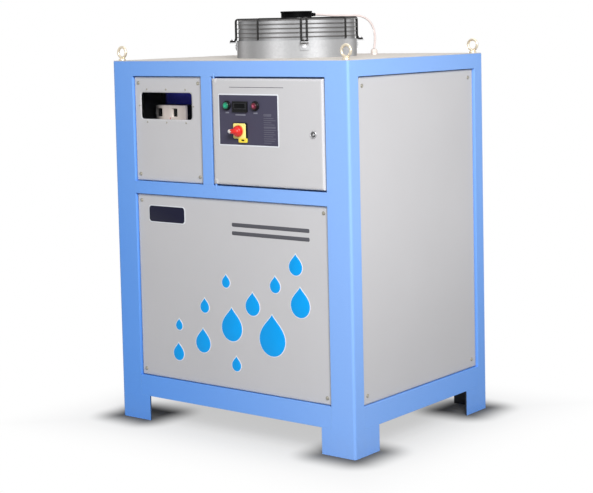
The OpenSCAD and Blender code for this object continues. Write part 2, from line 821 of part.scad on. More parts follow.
// Unit direction of the cable at a route point
function cable_dir(i) =
    let (a = cable_route[max(i - 1, 0)], b = cable_route[min(i + 1, len(cable_route) - 1)], d = b - a)
    d / norm(d);

// One ring of points around a route point
function cable_ring(i) =
    let (p = cable_route[i], d = cable_dir(i))
    [for (k = [0:cable_sides - 1])
        let (a = 360 * k / cable_sides, out = cable_d / 2 * cos(a))
        [p[0] - d[1] * out, cable_d / 2 * sin(a), p[1] + d[0] * out]];

module fan_cable() {
    rings = len(cable_route);
    points = [for (i = [0:rings - 1]) each cable_ring(i)];
    sides = [for (i = [0:rings - 2], k = [0:cable_sides - 1])
        let (n = (k + 1) % cable_sides)
        [i * cable_sides + k, (i + 1) * cable_sides + k, (i + 1) * cable_sides + n, i * cable_sides + n]];
    start = [for (k = [0:cable_sides - 1]) k];
    end = [for (k = [cable_sides - 1:-1:0]) (rings - 1) * cable_sides + k];
    color("white") translate([0, mid_y, 0]) rotate([0, 0, cable_turn])
        polyhedron(points, concat(sides, [start, end]));
}

module lifting_eyes() {
    ring_z = deck_z + eye_collar_h + eye_d / 2 - 2 * fuse;
    color([0.85, 0.72, 0.45]) translate([0, mid_y, 0]) for (sx = [-1, 1], sy = [-1, 1])
        translate([sx * (half_w - eye_inset), sy * (half_d - eye_inset), 0]) {
            translate([0, 0, ring_z]) rotate([90, 0, 0])
                rotate_extrude() translate([(eye_d - eye_rod_d) / 2, 0]) circle(d = eye_rod_d);
            translate([0, 0, deck_z]) cylinder(d = eye_collar_d, h = eye_collar_h);
            translate([0, 0, cab_h - eye_shank_l])
                cylinder(d = eye_shank_d, h = eye_shank_l + top_t + fuse);
        }
}

corner_post(0, 0);  // post_front_left
corner_post(1, 0);  // post_front_right
corner_post(0, 1);  // post_rear_left
corner_post(1, 1);  // post_rear_right
front_top_rail();
front_mid_rail();
bottom_rail(0, half_d, front_open_w);  // front_bottom_rail
front_mullion();
top_rail(180, half_d, front_open_w);  // rear_top_rail
bottom_rail(180, half_d, front_open_w);  // rear_bottom_rail
top_rail(-90, half_w, side_open_w);  // left_top_rail
bottom_rail(-90, half_w, side_open_w);  // left_bottom_rail
top_rail(90, half_w, side_open_w);  // right_top_rail
bottom_rail(90, half_w, side_open_w);  // right_bottom_rail
top_plate();
base_plate();
sight_panel();
sight_pane();
lower_front_panel();
tall_panel(-90, half_w, side_open_w);  // left_panel
tall_panel(90, half_w, side_open_w);  // right_panel
tall_panel(180, half_d, front_open_w);  // rear_panel
recess_box(open_left, sight_w, gauge_box_depth);  // gauge_box
pressure_control();
recess_box(door_open_x, door_open_w, box_depth);  // control_box
mounting_plate();
hinge_pins();
control_door();
overlay_plate();
pilot_lamp(green_x, [0.10, 0.65, 0.25]);  // green_lamp
pilot_lamp(red_x, [0.80, 0.10, 0.10]);  // red_lamp
controller();
switch_plate();
lock_collar();
switch_handle();
lock_cam();
fan_shroud();
fan_guard();
fan_motor();
fan_impeller();
cable_gland();
fan_cable();
lifting_eyes();
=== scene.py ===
"""Looks of an air cooled water chiller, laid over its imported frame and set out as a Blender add-on."""

import math

import bmesh
import bpy
from bpy.props import FloatProperty, FloatVectorProperty, IntProperty, PointerProperty
from mathutils import Matrix, Vector


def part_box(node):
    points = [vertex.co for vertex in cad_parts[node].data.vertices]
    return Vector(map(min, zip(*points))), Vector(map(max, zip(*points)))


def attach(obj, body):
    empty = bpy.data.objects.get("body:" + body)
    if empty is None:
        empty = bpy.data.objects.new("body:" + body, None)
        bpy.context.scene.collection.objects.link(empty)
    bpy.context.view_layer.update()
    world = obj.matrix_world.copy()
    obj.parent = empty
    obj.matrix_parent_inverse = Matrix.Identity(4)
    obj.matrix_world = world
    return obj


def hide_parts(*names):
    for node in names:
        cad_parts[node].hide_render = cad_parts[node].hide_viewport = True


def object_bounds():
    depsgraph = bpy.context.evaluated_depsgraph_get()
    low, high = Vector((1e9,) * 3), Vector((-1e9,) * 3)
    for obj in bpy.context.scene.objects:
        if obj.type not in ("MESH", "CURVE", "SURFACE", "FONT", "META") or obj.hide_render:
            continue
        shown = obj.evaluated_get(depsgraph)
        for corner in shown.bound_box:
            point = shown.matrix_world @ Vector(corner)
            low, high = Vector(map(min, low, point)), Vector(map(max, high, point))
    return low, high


bl_info = {
    "name": "Air Cooled Water Chiller",
    "version": (1, 0, 0),
    "blender": (4, 5, 0),
    "location": "3D View > Sidebar > Chiller",
    "description": "Dresses the frame of an air cooled water chiller and sets its stage",
    "category": "Object",
}

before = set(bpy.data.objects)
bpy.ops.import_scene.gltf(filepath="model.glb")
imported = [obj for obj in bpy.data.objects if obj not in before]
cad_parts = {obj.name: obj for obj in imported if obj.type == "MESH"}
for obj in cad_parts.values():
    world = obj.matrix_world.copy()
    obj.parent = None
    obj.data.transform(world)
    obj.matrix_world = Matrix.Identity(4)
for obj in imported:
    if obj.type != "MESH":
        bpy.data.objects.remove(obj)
CAD_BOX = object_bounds()

MM = 0.001
SHARP_ANGLE = math.radians(38)
CORNERS = tuple((side, end) for side in (-1, 1) for end in (-1, 1))
BLACK = (0.0, 0.0, 0.0, 1.0)
WHITE = (1.0, 1.0, 1.0, 1.0)
DEEP_SHADE = (0.004, 0.004, 0.005, 1.0)
DUST = (0.3, 0.3, 0.3, 1.0)
BARE_WIRE = (0.35, 0.33, 0.31, 1.0)

# The camera of the photograph, and the soft lights with their sizes and places.
IMAGE_WIDTH = 593
IMAGE_HEIGHT = 493
SENSOR_WIDTH = 36.0
CAMERA_AT = (3.0456, -3.8543, 1.2688)
CAMERA_RIGHT = (0.78591712, 0.61793228, -0.02222576)
CAMERA_UP = (-0.03236085, 0.07700042, 0.99650575)
CAMERA_BACK = (0.61748446, -0.78245168, 0.08051276)
LIGHTS = (("key", 1.7, (2.7, -2.45, 2.6)), ("top", 2.4, (0.0, 0.2, 3.4)), ("fill", 1.1, (-2.9, 2.7, 0.58)))
LIGHT_AIM = Vector((0.0, 0.0, 0.62))

# The floor turns white beyond the chiller and has painted shadow under each foot's outer part.
FLOOR_HALF = 30.0
FLOOR_FADE = 0.35
FOOT_HALF = 0.052
FOOT_SHADE = (-0.012, 0.125)

# The cabinet. Its paint is lighter towards the near upper corner, as painted light, and the pressure control
# and the box that it sits in have painted shade at their left ends.
FRAME_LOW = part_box("post_front_left")[0]
FRAME_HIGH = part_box("post_rear_right")[1]
LEG_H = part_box("front_bottom_rail")[0].z
# Painted light: the frame is lighter towards this side, over this span.
LIT_SIDE = (0.6, -0.45, 0.3)
LIT_SPAN = (-0.15, 0.68)
GAUGE_BOX_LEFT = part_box("gauge_box")[0].x
GAUGE_BOX_SHADE = (GAUGE_BOX_LEFT + 0.018, GAUGE_BOX_LEFT + 0.033)
CONTROL_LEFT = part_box("pressure_control")[0].x
CONTROL_SHADE = (CONTROL_LEFT + 0.002, CONTROL_LEFT + 0.043)
PANE_LAP = 0.018
FACE_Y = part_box("overlay_plate")[0].y

# The fan, with its cable from the motor's boss over the guard to the gland.
SHROUD_LOW, SHROUD_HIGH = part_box("fan_shroud")
FAN_AXIS = Vector(((SHROUD_LOW.x + SHROUD_HIGH.x) / 2, (SHROUD_LOW.y + SHROUD_HIGH.y) / 2, 0.0))
DECK_Z = SHROUD_LOW.z
SHROUD_TOP = DECK_Z + 0.055
SHROUD_R = 0.1925
MOTOR_SEAT = round(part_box("fan_guard")[1].z, 4)
GUARD_TOP = MOTOR_SEAT - 0.005
BOSS_Z = MOTOR_SEAT + 0.008
BOSS_END = 0.062
CABLE_TURN = 45
CABLE_D = 0.007
GLAND_REACH = SHROUD_R + 0.0585
GLAND_H = 0.020


def linear(red, green, blue):
    """Scene-linear colour of an 8-bit screen colour."""
    def channel(value):
        share = value / 255
        return share / 12.92 if share <= 0.04045 else ((share + 0.055) / 1.055) ** 2.4
    return tuple(channel(value) for value in (red, green, blue))


def shade(colour, amount=1.0):
    """The colour made lighter or darker, with the alpha that a socket wants."""
    return tuple(min(1.0, channel * amount) for channel in colour[:3]) + (1.0,)


def colour_setting(name, description, *screen):
    return FloatVectorProperty(name=name, description=description, subtype="COLOR", size=3,
                               min=0.0, max=1.0, default=linear(*screen))


def length_setting(name, description, millimetres):
    return FloatProperty(name=name, description=description, subtype="DISTANCE", unit="LENGTH",
                         min=0.0, default=millimetres * MM)


def share_setting(name, description, share):
    return FloatProperty(name=name, description=description, subtype="FACTOR", min=0.0, max=2.0,
                         default=share)


def power_setting(name, description, watts):
    return FloatProperty(name=name, description=description, unit="POWER", min=0.0, default=watts)


def count_setting(name, description, least, count):
    return IntProperty(name=name, description=description, min=least, default=count)


class ChillerStage(bpy.types.PropertyGroup):
    """Light, floor and camera around the chiller."""

    ambient: share_setting("Ambient", "Strength of the even light from all sides", 0.19)
    key_power: power_setting("Key power", "Power of the soft light at the near corner", 172.0)
    top_power: power_setting("Top power", "Power of the soft light overhead", 14.0)
    fill_power: power_setting("Fill power", "Power of the soft light behind the chiller", 70.0)
    floor: colour_setting("Floor", "Colour of the floor", 206, 206, 206)
    floor_glow: share_setting("Floor white", "Share of plain white in the floor beside the chiller", 0.82)
    lens: FloatProperty(name="Lens", description="Focal length of the camera", unit="CAMERA",
                        min=1.0, default=92.763)
    horizon: FloatProperty(name="Horizon row", description="Picture row of the camera's axis",
                           subtype="PIXEL", default=146.8723)


class ChillerPaints(bpy.types.PropertyGroup):
    """Colours of the chiller's finishes."""

    frame_blue: colour_setting("Frame", "Powder coat of the frame", 98, 163, 251)
    # Painted light: the frame's colour towards its lit near upper corner and on its bright edges.
    lit_blue: colour_setting("Faded frame", "Powder coat where light has paled it", 140, 182, 246)
    inner_blue: colour_setting("Inner box", "Paint of the box behind the sight window", 92, 96, 250)
    panel_grey: colour_setting("Panels", "Satin paint of the panels and the door", 203, 202, 204)
    top_grey: colour_setting("Top plate", "Paint of the top plate", 216, 208, 200)
    pane: colour_setting("Pane", "Faint haze of the clear pane", 63, 66, 72)
    slate: colour_setting("Overlay", "Film on the control door", 68, 66, 84)
    legend: colour_setting("Legend", "Pale print under the lamps", 122, 123, 136)
    faint_legend: colour_setting("Legend rows", "Faint print beside the switch", 92, 91, 106)
    pale_print: colour_setting("Pale print", "Margins of the overlay, the plate and the drops", 226, 229, 234)
    cream: colour_setting("Pressure control", "Cover of the pressure control", 246, 234, 226)
    yellow: colour_setting("Switch tab", "Yellow plastic of the switch's padlock tab", 248, 222, 70)
    pale_yellow: colour_setting("Switch plate", "Paler yellow of the switch plate", 255, 236, 138)
    red: colour_setting("Switch handle", "Red plastic of the switch handle", 214, 32, 22)
    # Also the white of the painted highlight along the handle's crest.
    white: colour_setting("Switch pointer", "White plastic of the switch handle's tip", 238, 234, 228)
    black: colour_setting("Black plastic", "Plastic of bezels and bodies", 12, 12, 14)
    key_grey: colour_setting("Dark grey plastic", "Terminals, scale marks and the display's rim", 58, 58, 62)
    display: colour_setting("Display", "Dark glass of the display and the scale slots", 6, 7, 9)
    green_lens: colour_setting("Green lens", "Lens of the green lamp", 20, 146, 108)
    red_lens: colour_setting("Red lens", "Lens of the red lamp", 104, 10, 38)
    # Painted highlight: the pale middle of the red lens.
    red_core: colour_setting("Red lens middle", "Pale middle of the red lens", 190, 84, 118)
    wire_grey: colour_setting("Guard rings", "Coating of the guard's ring wires", 104, 102, 102)
    wire_black: colour_setting("Guard rods", "Coating of the guard's rods", 20, 18, 18)
    motor_black: colour_setting("Motor", "Paint of the fan motor", 5, 5, 6)
    galvanised: colour_setting("Galvanised sheet", "Zinc of the shroud and mounting plate", 196, 197, 199)
    steel: colour_setting("Bright steel", "Bolts, pins and lock", 196, 196, 198)
    chrome: colour_setting("Chrome", "Face of the lock's plug", 238, 238, 240)
    screw: colour_setting("Screws", "Dulled plating of the panel screws", 170, 166, 154)
    zinc: colour_setting("Yellow zinc", "Plating of the lifting eyes", 234, 222, 200)
    cable: colour_setting("Cable", "Sheath of the fan cable", 222, 208, 205)
    nylon: colour_setting("Gland", "Nylon of the cable gland", 222, 212, 206)
    azure: colour_setting("Drops", "Print on the lower panel", 0, 160, 240)
    navy: colour_setting("Header plate", "Print of the plate above the drops", 10, 11, 40)
    stripe: colour_setting("Header stripes", "Print of the stripes above the drops", 84, 84, 90)


class ChillerFittings(bpy.types.PropertyGroup):
    """Sizes of the small fittings that the frame leaves to the looks."""

    screw_d: length_setting("Panel screw", "Head diameter of a panel screw", 8.5)
    screw_h: length_setting("Panel screw height", "Head height of a panel screw", 2.4)
    screw_side: length_setting("Screw from side", "Distance of a screw from a front panel's side edge", 17)
    screw_end: length_setting("Screw from end", "Distance of a screw from a front panel's top or bottom", 20)
    side_screw: length_setting("Side panel screw", "Distance of a screw from the other panels' edges", 26)
    pane_screw_d: length_setting("Pane screw", "Head diameter of a screw around the sight window", 5.5)
    ring_wire_d: length_setting("Guard ring wire", "Diameter of the guard's ring wires", 2.6)
    rod_d: length_setting("Guard rod", "Diameter of the guard's rods", 6)
    wire_pitch: length_setting("Guard ring pitch", "Distance between the guard's ring wires", 13.5)
    side_rings: count_setting("Side rings", "Ring wires on the guard's side", 2, 5)
    top_rings: count_setting("Top rings", "Ring wires over the guard's top", 2, 9)
    blades: count_setting("Blades", "Blades of the impeller", 3, 5)
    motor_ribs: count_setting("Motor ribs", "Ribs around the motor", 4, 28)


def paints():
    return bpy.context.scene.chiller_paints


def fittings():
    return bpy.context.scene.chiller_fittings


class Value:
    """A socket of a material, which Python's operators extend with Math nodes."""

    def __init__(self, nodes, socket):
        self.nodes = nodes
        self.socket = socket

    def __add__(self, other):
        return self.nodes.math("ADD", self, other)

    def __sub__(self, other):
        return self.nodes.math("SUBTRACT", self, other)

    def __rsub__(self, other):
        return self.nodes.math("SUBTRACT", other, self)

    def __mul__(self, other):
        return self.nodes.math("MULTIPLY", self, other)

    def __pow__(self, other):
        return self.nodes.math("POWER", self, other)

    def __abs__(self):
        return self.nodes.math("ABSOLUTE", self)


class Nodes:
    """A node tree, with one way to add any node to it."""

    def __init__(self, tree):
        self.tree = tree
        tree.nodes.clear()

    def node(self, kind, settings=None, sockets=None, output=0):
        made = self.tree.nodes.new("ShaderNode" + kind)
        for key, value in (settings or {}).items():
            setattr(made, key, value)
        for key, value in (sockets or {}).items():
            if isinstance(value, Value):
                self.tree.links.new(value.socket, made.inputs[key])
            else:
                made.inputs[key].default_value = value
        return Value(self, made.outputs[output]) if made.outputs else made

    def math(self, operation, *terms):
        return self.node("Math", {"operation": operation}, dict(enumerate(terms)))

    def largest(self, first, *others):
        for other in others:
            first = self.math("MAXIMUM", first, other)
        return first

    def vector_math(self, operation, one, other, output=0):
        return self.node("VectorMath", {"operation": operation}, {0: one, 1: other}, output)

    def dot(self, one, other):
        return self.vector_math("DOT_PRODUCT", one, other, "Value")

    def part(self, vector, axis):
        return self.node("SeparateXYZ", None, {"Vector": vector}, axis)

    def mix(self, factor, low, high):
        """Colour between two colours."""
        return self.node("Mix", {"data_type": "RGBA"}, {0: factor, 6: low, 7: high}, output=2)

    def between(self, value, low, high):
        """0 below low, 1 above high and smooth between them."""
        return self.node("MapRange", {"interpolation_type": "SMOOTHSTEP"},
                         {"Value": value, "From Min": low, "From Max": high})

    def camera_white(self):
        """1 for rays that show the background in the picture, in metal and in glass."""
        return self.largest(*(self.node("LightPath", output=name)
                              for name in ("Is Camera Ray", "Is Glossy Ray", "Is Transmission Ray")))


class Finish(Nodes):
    """A material with one main shader, whose steady sockets are set by name."""

    def __init__(self, name, **steady):
        self.material = bpy.data.materials.new(name)
        self.material.use_nodes = True
        super().__init__(self.material.node_tree)
        shader = self.node("BsdfPrincipled")
        self.shader = shader.socket.node
        self.node("OutputMaterial", None, {"Surface": shader})
        for key, value in steady.items():
            self.input(key).default_value = value
        self.place = self.node("TexCoord", output="Object")

    def input(self, key):
        return self.shader.inputs[key.replace("_", " ").title().replace("Ior", "IOR")]

    def feed(self, **values):
        for key, value in values.items():
            self.tree.links.new(value.socket, self.input(key))
        return self.material

    def grain(self, scale, detail=2.0, stretch=(1.0, 1.0, 1.0)):
        """Noise from 0 to 1, with its scale in waves to the metre."""
        place = self.vector_math("MULTIPLY", self.place, stretch)
        return self.node("TexNoise", None, {"Vector": place, "Scale": scale, "Detail": detail})

    def bump(self, height, depth, over=None):
        sockets = {"Strength": 1.0, "Distance": depth, "Height": height}
        if over:
            sockets["Normal"] = over
        return self.node("Bump", None, sockets)

    def facing(self):
        """Normal of the bare surface."""
        return self.node("NewGeometry", output="Normal")

    def rounded(self, radius):
        """Normal that rounds sharp edges off."""
        return self.node("Bevel", {"samples": 6}, {"Radius": radius})

    def edges(self, rounded):
        """1 along rounded edges and 0 away from them."""
        return self.between(1 - self.dot(rounded, self.facing()), 0.02, 0.25)

    def across(self):
        return self.part(self.place, "X")

    def height(self):
        return self.part(self.place, "Z")

    def cloud(self, grain, colour, low, high):
        """The colour drifting between two shades of itself."""
        return self.mix(grain, shade(colour, low), shade(colour, high))


def shaded_leg_insides(finish, tone):
    """The tone with painted shade that darkens the inside of the legs, below the rails, to near black."""
    inward = finish.between(0 - finish.dot(finish.facing(), finish.place), 0.16, 0.2)
    below_rails = 1 - finish.between(finish.height(), LEG_H - 0.002, LEG_H - 0.001)
    return finish.mix(inward * below_rails, tone, DEEP_SHADE)


def shaded_low_and_dusty(finish, tone, colour, soil):
    """The tone with painted shade lower down, most of it on the sides, and dust at the bottom."""
    sideways = abs(finish.part(finish.facing(), "X"))
    lower = 1 - finish.between(finish.height(), 0.05, 0.75)
    tone = finish.mix(lower * (sideways * 0.24 + soil), tone, shade(colour, 0.45))
    dust = (1 - finish.between(finish.height(), 0.0, 0.10)) * finish.grain(38, 4.0)
    return finish.mix(dust * 0.12, tone, DUST)


def painted_sheet(name, colour, roughness, peel, rim, glint, soil=0.0, fades=False):
    """Powder coat or paint on sheet steel: orange peel, broad shade, specks, and round edges that are
    brighter, partly where the coat wears thin and partly as a painted highlight.

    The frame's coat is lighter towards the near upper corner, as painted light, and has painted shade that
    darkens the inside of the legs.
    """
    lit_colour = paints().lit_blue if fades else colour
    finish = Finish(name, specular_ior_level=0.3)
    rounded = finish.rounded(rim)
    tone = finish.cloud(finish.grain(2.6, 3.0), colour, 0.95, 1.05)
    # Painted light: lighter towards the near upper corner.
    if fades:
        tone = finish.mix(finish.between(finish.dot(finish.place, LIT_SIDE), *LIT_SPAN), tone, shade(lit_colour))
    # Edges brighter, partly where the coat wears thin and partly as a painted highlight.
    tone = finish.mix(finish.edges(rounded) * glint, tone, shade(lit_colour, 1.5))
    specks = finish.between(finish.grain(900, 0.0), 0.70, 0.76)
    tone = finish.mix(specks * 0.15, tone, shade(colour, 0.75))
    # Painted shade inside the legs.
    if fades:
        tone = shaded_leg_insides(finish, tone)
    # Painted shade lower down and on the sides, with dust at the bottom.
    if soil:
        tone = shaded_low_and_dusty(finish, tone, colour, soil)
    return finish.feed(base_color=tone, roughness=finish.grain(24, 3.0) * 0.1 + (roughness - 0.05),
                       normal=finish.bump(finish.grain(620, 1.5), peel, rounded))


def shaded_sheet(name, colour, roughness):
    """Thin deep paint inside the box behind the sight window, with painted shade that darkens its left end.
    """
    finish = Finish(name, specular_ior_level=0.1)
    tone = finish.cloud(finish.grain(7, 3.0), colour, 0.8, 1.15)
    # Painted shade: the left end darkened to near black.
    lit = finish.between(finish.across(), *GAUGE_BOX_SHADE)
    return finish.feed(base_color=finish.mix(lit, shade(DEEP_SHADE, 0.5), tone),
                       roughness=finish.grain(24, 3.0) * 0.1 + roughness,
                       normal=finish.bump(finish.grain(620, 1.5), 0.00004))


def moulded_plastic(name, colour, roughness, dark_end=None, **steady):
    """Moulded plastic: a fine grain, slight shade, handling marks, edges lightened as a painted highlight,
    and perhaps painted shade at its left end.
    """
    finish = Finish(name, **steady)
    marks = finish.between(finish.grain(160, 4.0, (1.0, 1.0, 7.0)), 0.58, 0.72)
    rounded = finish.rounded(0.0006)
    tone = finish.cloud(finish.grain(40, 3.0), colour, 0.92, 1.08)
    # Painted highlight: the edges lightened.
    tone = finish.mix(finish.edges(rounded) * 0.3, tone, shade(colour, 1.5))
    # Painted shade: the left end darkened to near black.
    if dark_end:
        tone = finish.mix(finish.between(finish.across(), *dark_end), DEEP_SHADE, tone)
    return finish.feed(base_color=tone, roughness=marks * 0.12 + (roughness - 0.03),
                       normal=finish.bump(finish.grain(2400, 1.0), 0.00003, rounded))


def galvanised_sheet(name, colour, roughness, sheen_bands=9, sheen_phase=1.225):
    """Rolled zinc coated sheet: soft bands of painted reflection around the fan, faint crystals, and painted
    shade behind the guard.
    """
    finish = Finish(name, metallic=0.35, specular_ior_level=0.15)
    from_axis = finish.vector_math("SUBTRACT", finish.place, FAN_AXIS)
    turn = finish.math("ARCTAN2", finish.part(from_axis, "Y"), finish.part(from_axis, "X"))
    # Painted reflection: soft bands of light and dark around the fan's axis.
    sheen_wave = finish.math("COSINE", turn * sheen_bands - sheen_phase) * 0.5 + 0.5
    uneven = finish.between(finish.grain(15, 1.5, (1.0, 1.0, 0.02)), 0.3, 0.7)
    sheen_band = sheen_wave ** 1.5 * 0.75 + uneven * 0.25
    crystals = finish.node("TexVoronoi", None, {"Vector": finish.place, "Scale": 160.0}, "Color")
    crystal = finish.node("SeparateColor", None, {"Color": crystals}, "Red")
    streak = finish.grain(150, 3.0, (1.0, 1.0, 0.04))
    tone = finish.cloud(sheen_band, colour, 0.58, 1.07)
    tone = finish.mix(crystal * 0.16 + streak * 0.12, tone, shade(colour, 0.6))
    # Painted shade behind the guard: darker above the shroud's top, most in the dark bands.
    guarded = finish.between(finish.height(), SHROUD_TOP - 0.001, SHROUD_TOP + 0.001)
    tone = finish.mix(guarded * (1 - sheen_band) * 0.4, tone, shade(colour, 0.3))
    return finish.feed(base_color=tone, roughness=crystal * 0.08 + streak * 0.1 + roughness,
                       normal=finish.bump(crystal * 0.3 + streak * 0.7, 0.00003))


def worked_metal(name, colour, roughness):
    """Turned or rolled metal: tool marks, stains and bright rubbed edges."""
    finish = Finish(name, metallic=1.0)
    marks = finish.grain(420, 3.0, (1.0, 1.0, 6.0))
    stain = finish.grain(55, 4.0)
    rounded = finish.rounded(0.0008)
    tone = finish.cloud(stain, colour, 0.7, 1.1)
    tone = finish.mix(finish.edges(rounded) * 0.5, tone, shade(colour, 1.45))
    return finish.feed(base_color=tone, roughness=marks * 0.14 + stain * 0.1 + (roughness - 0.12),
                       normal=finish.bump(marks, 0.00004, rounded))


def coated_wire(name, colour, roughness):
    """Coated wire with thin drawn lines and worn spots."""
    finish = Finish(name, specular_ior_level=0.25)
    lines = finish.grain(500, 2.0, (1.0, 1.0, 0.2))
    worn = finish.between(finish.grain(70, 5.0), 0.62, 0.75)
    tone = finish.cloud(lines, colour, 0.8, 1.15)
    tone = finish.mix(worn * 0.2, tone, BARE_WIRE)
    return finish.feed(base_color=tone, roughness=lines * 0.15 + (roughness - 0.07),
                       normal=finish.bump(lines, 0.00005))


def printed_film(name, colour, roughness):
    """Screen print on a matt film: a fine texture and a slight drift of shade."""
    finish = Finish(name, specular_ior_level=0.2)
    mesh = finish.grain(1800, 0.0)
    tone = finish.cloud(finish.grain(9, 2.0), colour, 0.88, 1.14)
    tone = finish.mix(mesh, tone, shade(colour, 1.1))
    return finish.feed(base_color=tone, roughness=mesh * 0.1 + (roughness - 0.05),
                       normal=finish.bump(mesh, 0.00002))


def lamp_lens(name, colour, roughness, tint=1.0):
    """Tinted lens, slightly cloudy and uneven."""
    finish = Finish(name, transmission_weight=0.15, ior=1.49, roughness=roughness, specular_ior_level=0.35)
    tone = finish.cloud(finish.grain(120, 2.0), shade(colour, tint), 0.8, 1.25)
    return finish.feed(base_color=tone, normal=finish.bump(finish.grain(900, 1.0), 0.00002))


def clear_sheet(name, colour, roughness):
    """Clear acrylic pane: nearly all see-through, with a faint haze and fine scratches."""
    finish = Finish(name, roughness=roughness, ior=1.49)
    haze = finish.grain(30, 4.0)
    scratch = finish.between(finish.grain(300, 2.0, (1.0, 1.0, 0.05)), 0.66, 0.7)
    return finish.feed(base_color=finish.cloud(haze, colour, 0.43, 1.0),
                       alpha=haze * 0.01 + scratch * 0.04 + 0.012)


# Each finish has a maker, the paint that colours it, its roughness and the rest of its recipe.
FINISHES = {
    "frame_blue": (painted_sheet, "frame_blue", 0.42,
                   {"peel": 0.00005, "rim": 0.0015, "glint": 0.3, "soil": 0.03, "fades": True}),
    "panel_grey": (painted_sheet, "panel_grey", 0.46,
                   {"peel": 0.00003, "rim": 0.008, "glint": 1.0, "soil": 0.11}),
    "top_plate_grey": (painted_sheet, "top_grey", 0.5, {"peel": 0.00003, "rim": 0.002, "glint": 0.3}),
    "shaded_blue": (shaded_sheet, "inner_blue", 0.5, {}),
    "clear_pane": (clear_sheet, "pane", 0.06, {}),
    "galvanised_sheet": (galvanised_sheet, "galvanised", 0.5, {}),
    "bright_steel": (worked_metal, "steel", 0.34, {}),
    "chrome": (worked_metal, "chrome", 0.24, {}),
    "dull_screw": (worked_metal, "screw", 0.5, {}),
    "yellow_zinc": (worked_metal, "zinc", 0.36, {}),
    "grey_wire": (coated_wire, "wire_grey", 0.42, {}),
    "black_wire": (coated_wire, "wire_black", 0.42, {}),
    "slate_overlay": (printed_film, "slate", 0.45, {}),
    "pale_legend": (printed_film, "legend", 0.5, {}),
    "faint_legend": (printed_film, "faint_legend", 0.5, {}),
    "azure_print": (printed_film, "azure", 0.42, {}),
    "pale_print": (printed_film, "pale_print", 0.42, {}),
    "navy_print": (printed_film, "navy", 0.36, {}),
    "stripe_print": (printed_film, "stripe", 0.42, {}),
    # The lenses' pale middles are painted highlights and their dark rims painted shade.
    "green_lens": (lamp_lens, "green_lens", 0.22, {}),
    "green_lens_core": (lamp_lens, "green_lens", 0.22, {"tint": 1.7}),
    "green_lens_rim": (lamp_lens, "green_lens", 0.22, {"tint": 0.45}),
    "red_lens": (lamp_lens, "red_lens", 0.22, {}),
    "red_lens_core": (lamp_lens, "red_core", 0.22, {}),
    "red_lens_rim": (lamp_lens, "red_lens", 0.22, {"tint": 0.4}),
    "cream_plastic": (moulded_plastic, "cream", 0.5, {"dark_end": CONTROL_SHADE}),
    "pale_yellow_plastic": (moulded_plastic, "pale_yellow", 0.36, {}),
    "yellow_plastic": (moulded_plastic, "yellow", 0.36, {}),
    "red_plastic": (moulded_plastic, "red", 0.34, {}),
    "white_plastic": (moulded_plastic, "white", 0.4, {}),
    "grey_nylon": (moulded_plastic, "nylon", 0.45, {}),
    "white_cable": (moulded_plastic, "cable", 0.45, {}),
    "black_plastic": (moulded_plastic, "black", 0.4, {"specular_ior_level": 0.2}),
    "grey_key": (moulded_plastic, "key_grey", 0.42, {"specular_ior_level": 0.2}),
    "dark_glass": (moulded_plastic, "display", 0.16, {"specular_ior_level": 0.1}),
    "black_motor": (moulded_plastic, "motor_black", 0.6, {"specular_ior_level": 0.06}),
}
made_finishes = {}


def get_finish(name):
    """The finish of that name, made when it is first asked for."""
    if name not in made_finishes:
        maker, paint, roughness, recipe = FINISHES[name]
        made_finishes[name] = maker("chiller_" + name, getattr(paints(), paint), roughness, **recipe)
    return made_finishes[name]


def box_middle(node):
    low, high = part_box(node)
    return (low + high) / 2


def shifted(place, x=0.0, y=0.0, z=0.0):
    """The place moved along its own axes."""
    return place @ Matrix.Translation((x, y, z))


def turned(place, degrees, axis):
    """The place turned about one of its own axes."""
    return place @ Matrix.Rotation(math.radians(degrees), 4, axis)


def upright(at=(0.0, 0.0, 0.0), turn=0.0):
    """Place on an upright face: X to the right, Y up and Z out. Turn 0 faces the front, 90 the right side."""
    face = Matrix(((1, 0, 0), (0, 0, -1), (0, 1, 0))).to_4x4()
    return turned(Matrix.Translation(at), turn, "Z") @ face


def around_fan(turn=0.0, height=0.0):
    """Place on the fan's axis at a height, turned about the axis."""
    return turned(Matrix.Translation(FAN_AXIS + Vector((0, 0, height))), turn, "Z")


def vectors(*points):
    return [Vector(point) for point in points]


def angles(steps):
    """Even angles around a full turn."""
    return [2 * math.pi * step / steps for step in range(steps)]


def polar(radius, angle, height=0.0):
    return Vector((radius * math.cos(angle), radius * math.sin(angle), height))


def bezier(points, share):
    rest = 1 - share
    return (points[0] * rest ** 3 + points[1] * 3 * share * rest ** 2
            + points[2] * 3 * share ** 2 * rest + points[3] * share ** 3)


def round_outline(width, height, radius, steps=6):
    """Rectangle about the origin with rounded corners, anticlockwise."""
    points = []
    for quarter, (side, end) in enumerate(((1, 1), (-1, 1), (-1, -1), (1, -1))):
        centre = Vector((side * (width / 2 - radius), end * (height / 2 - radius)))
        for step in range(steps + 1):
            points.append(centre + polar(radius, math.pi / 2 * (quarter + step / steps)).to_2d())
    return points


def inset_outline(outline, distance):
    """Outline moved inwards by a distance, corner by corner."""
    moved = []
    count = len(outline)
    for index, point in enumerate(outline):
        before = (point - outline[index - 1]).normalized()
        after = (outline[(index + 1) % count] - point).normalized()
        normal = Vector((-before.y - after.y, before.x + after.x))
        reach = max(0.2, normal.length_squared / 2)
        moved.append(point + normal * (distance / reach))
    return moved


def raised(place, outline, height):
    """Points of an outline at a height over the place's face."""
    return [place @ Vector((point.x, point.y, height)) for point in outline]


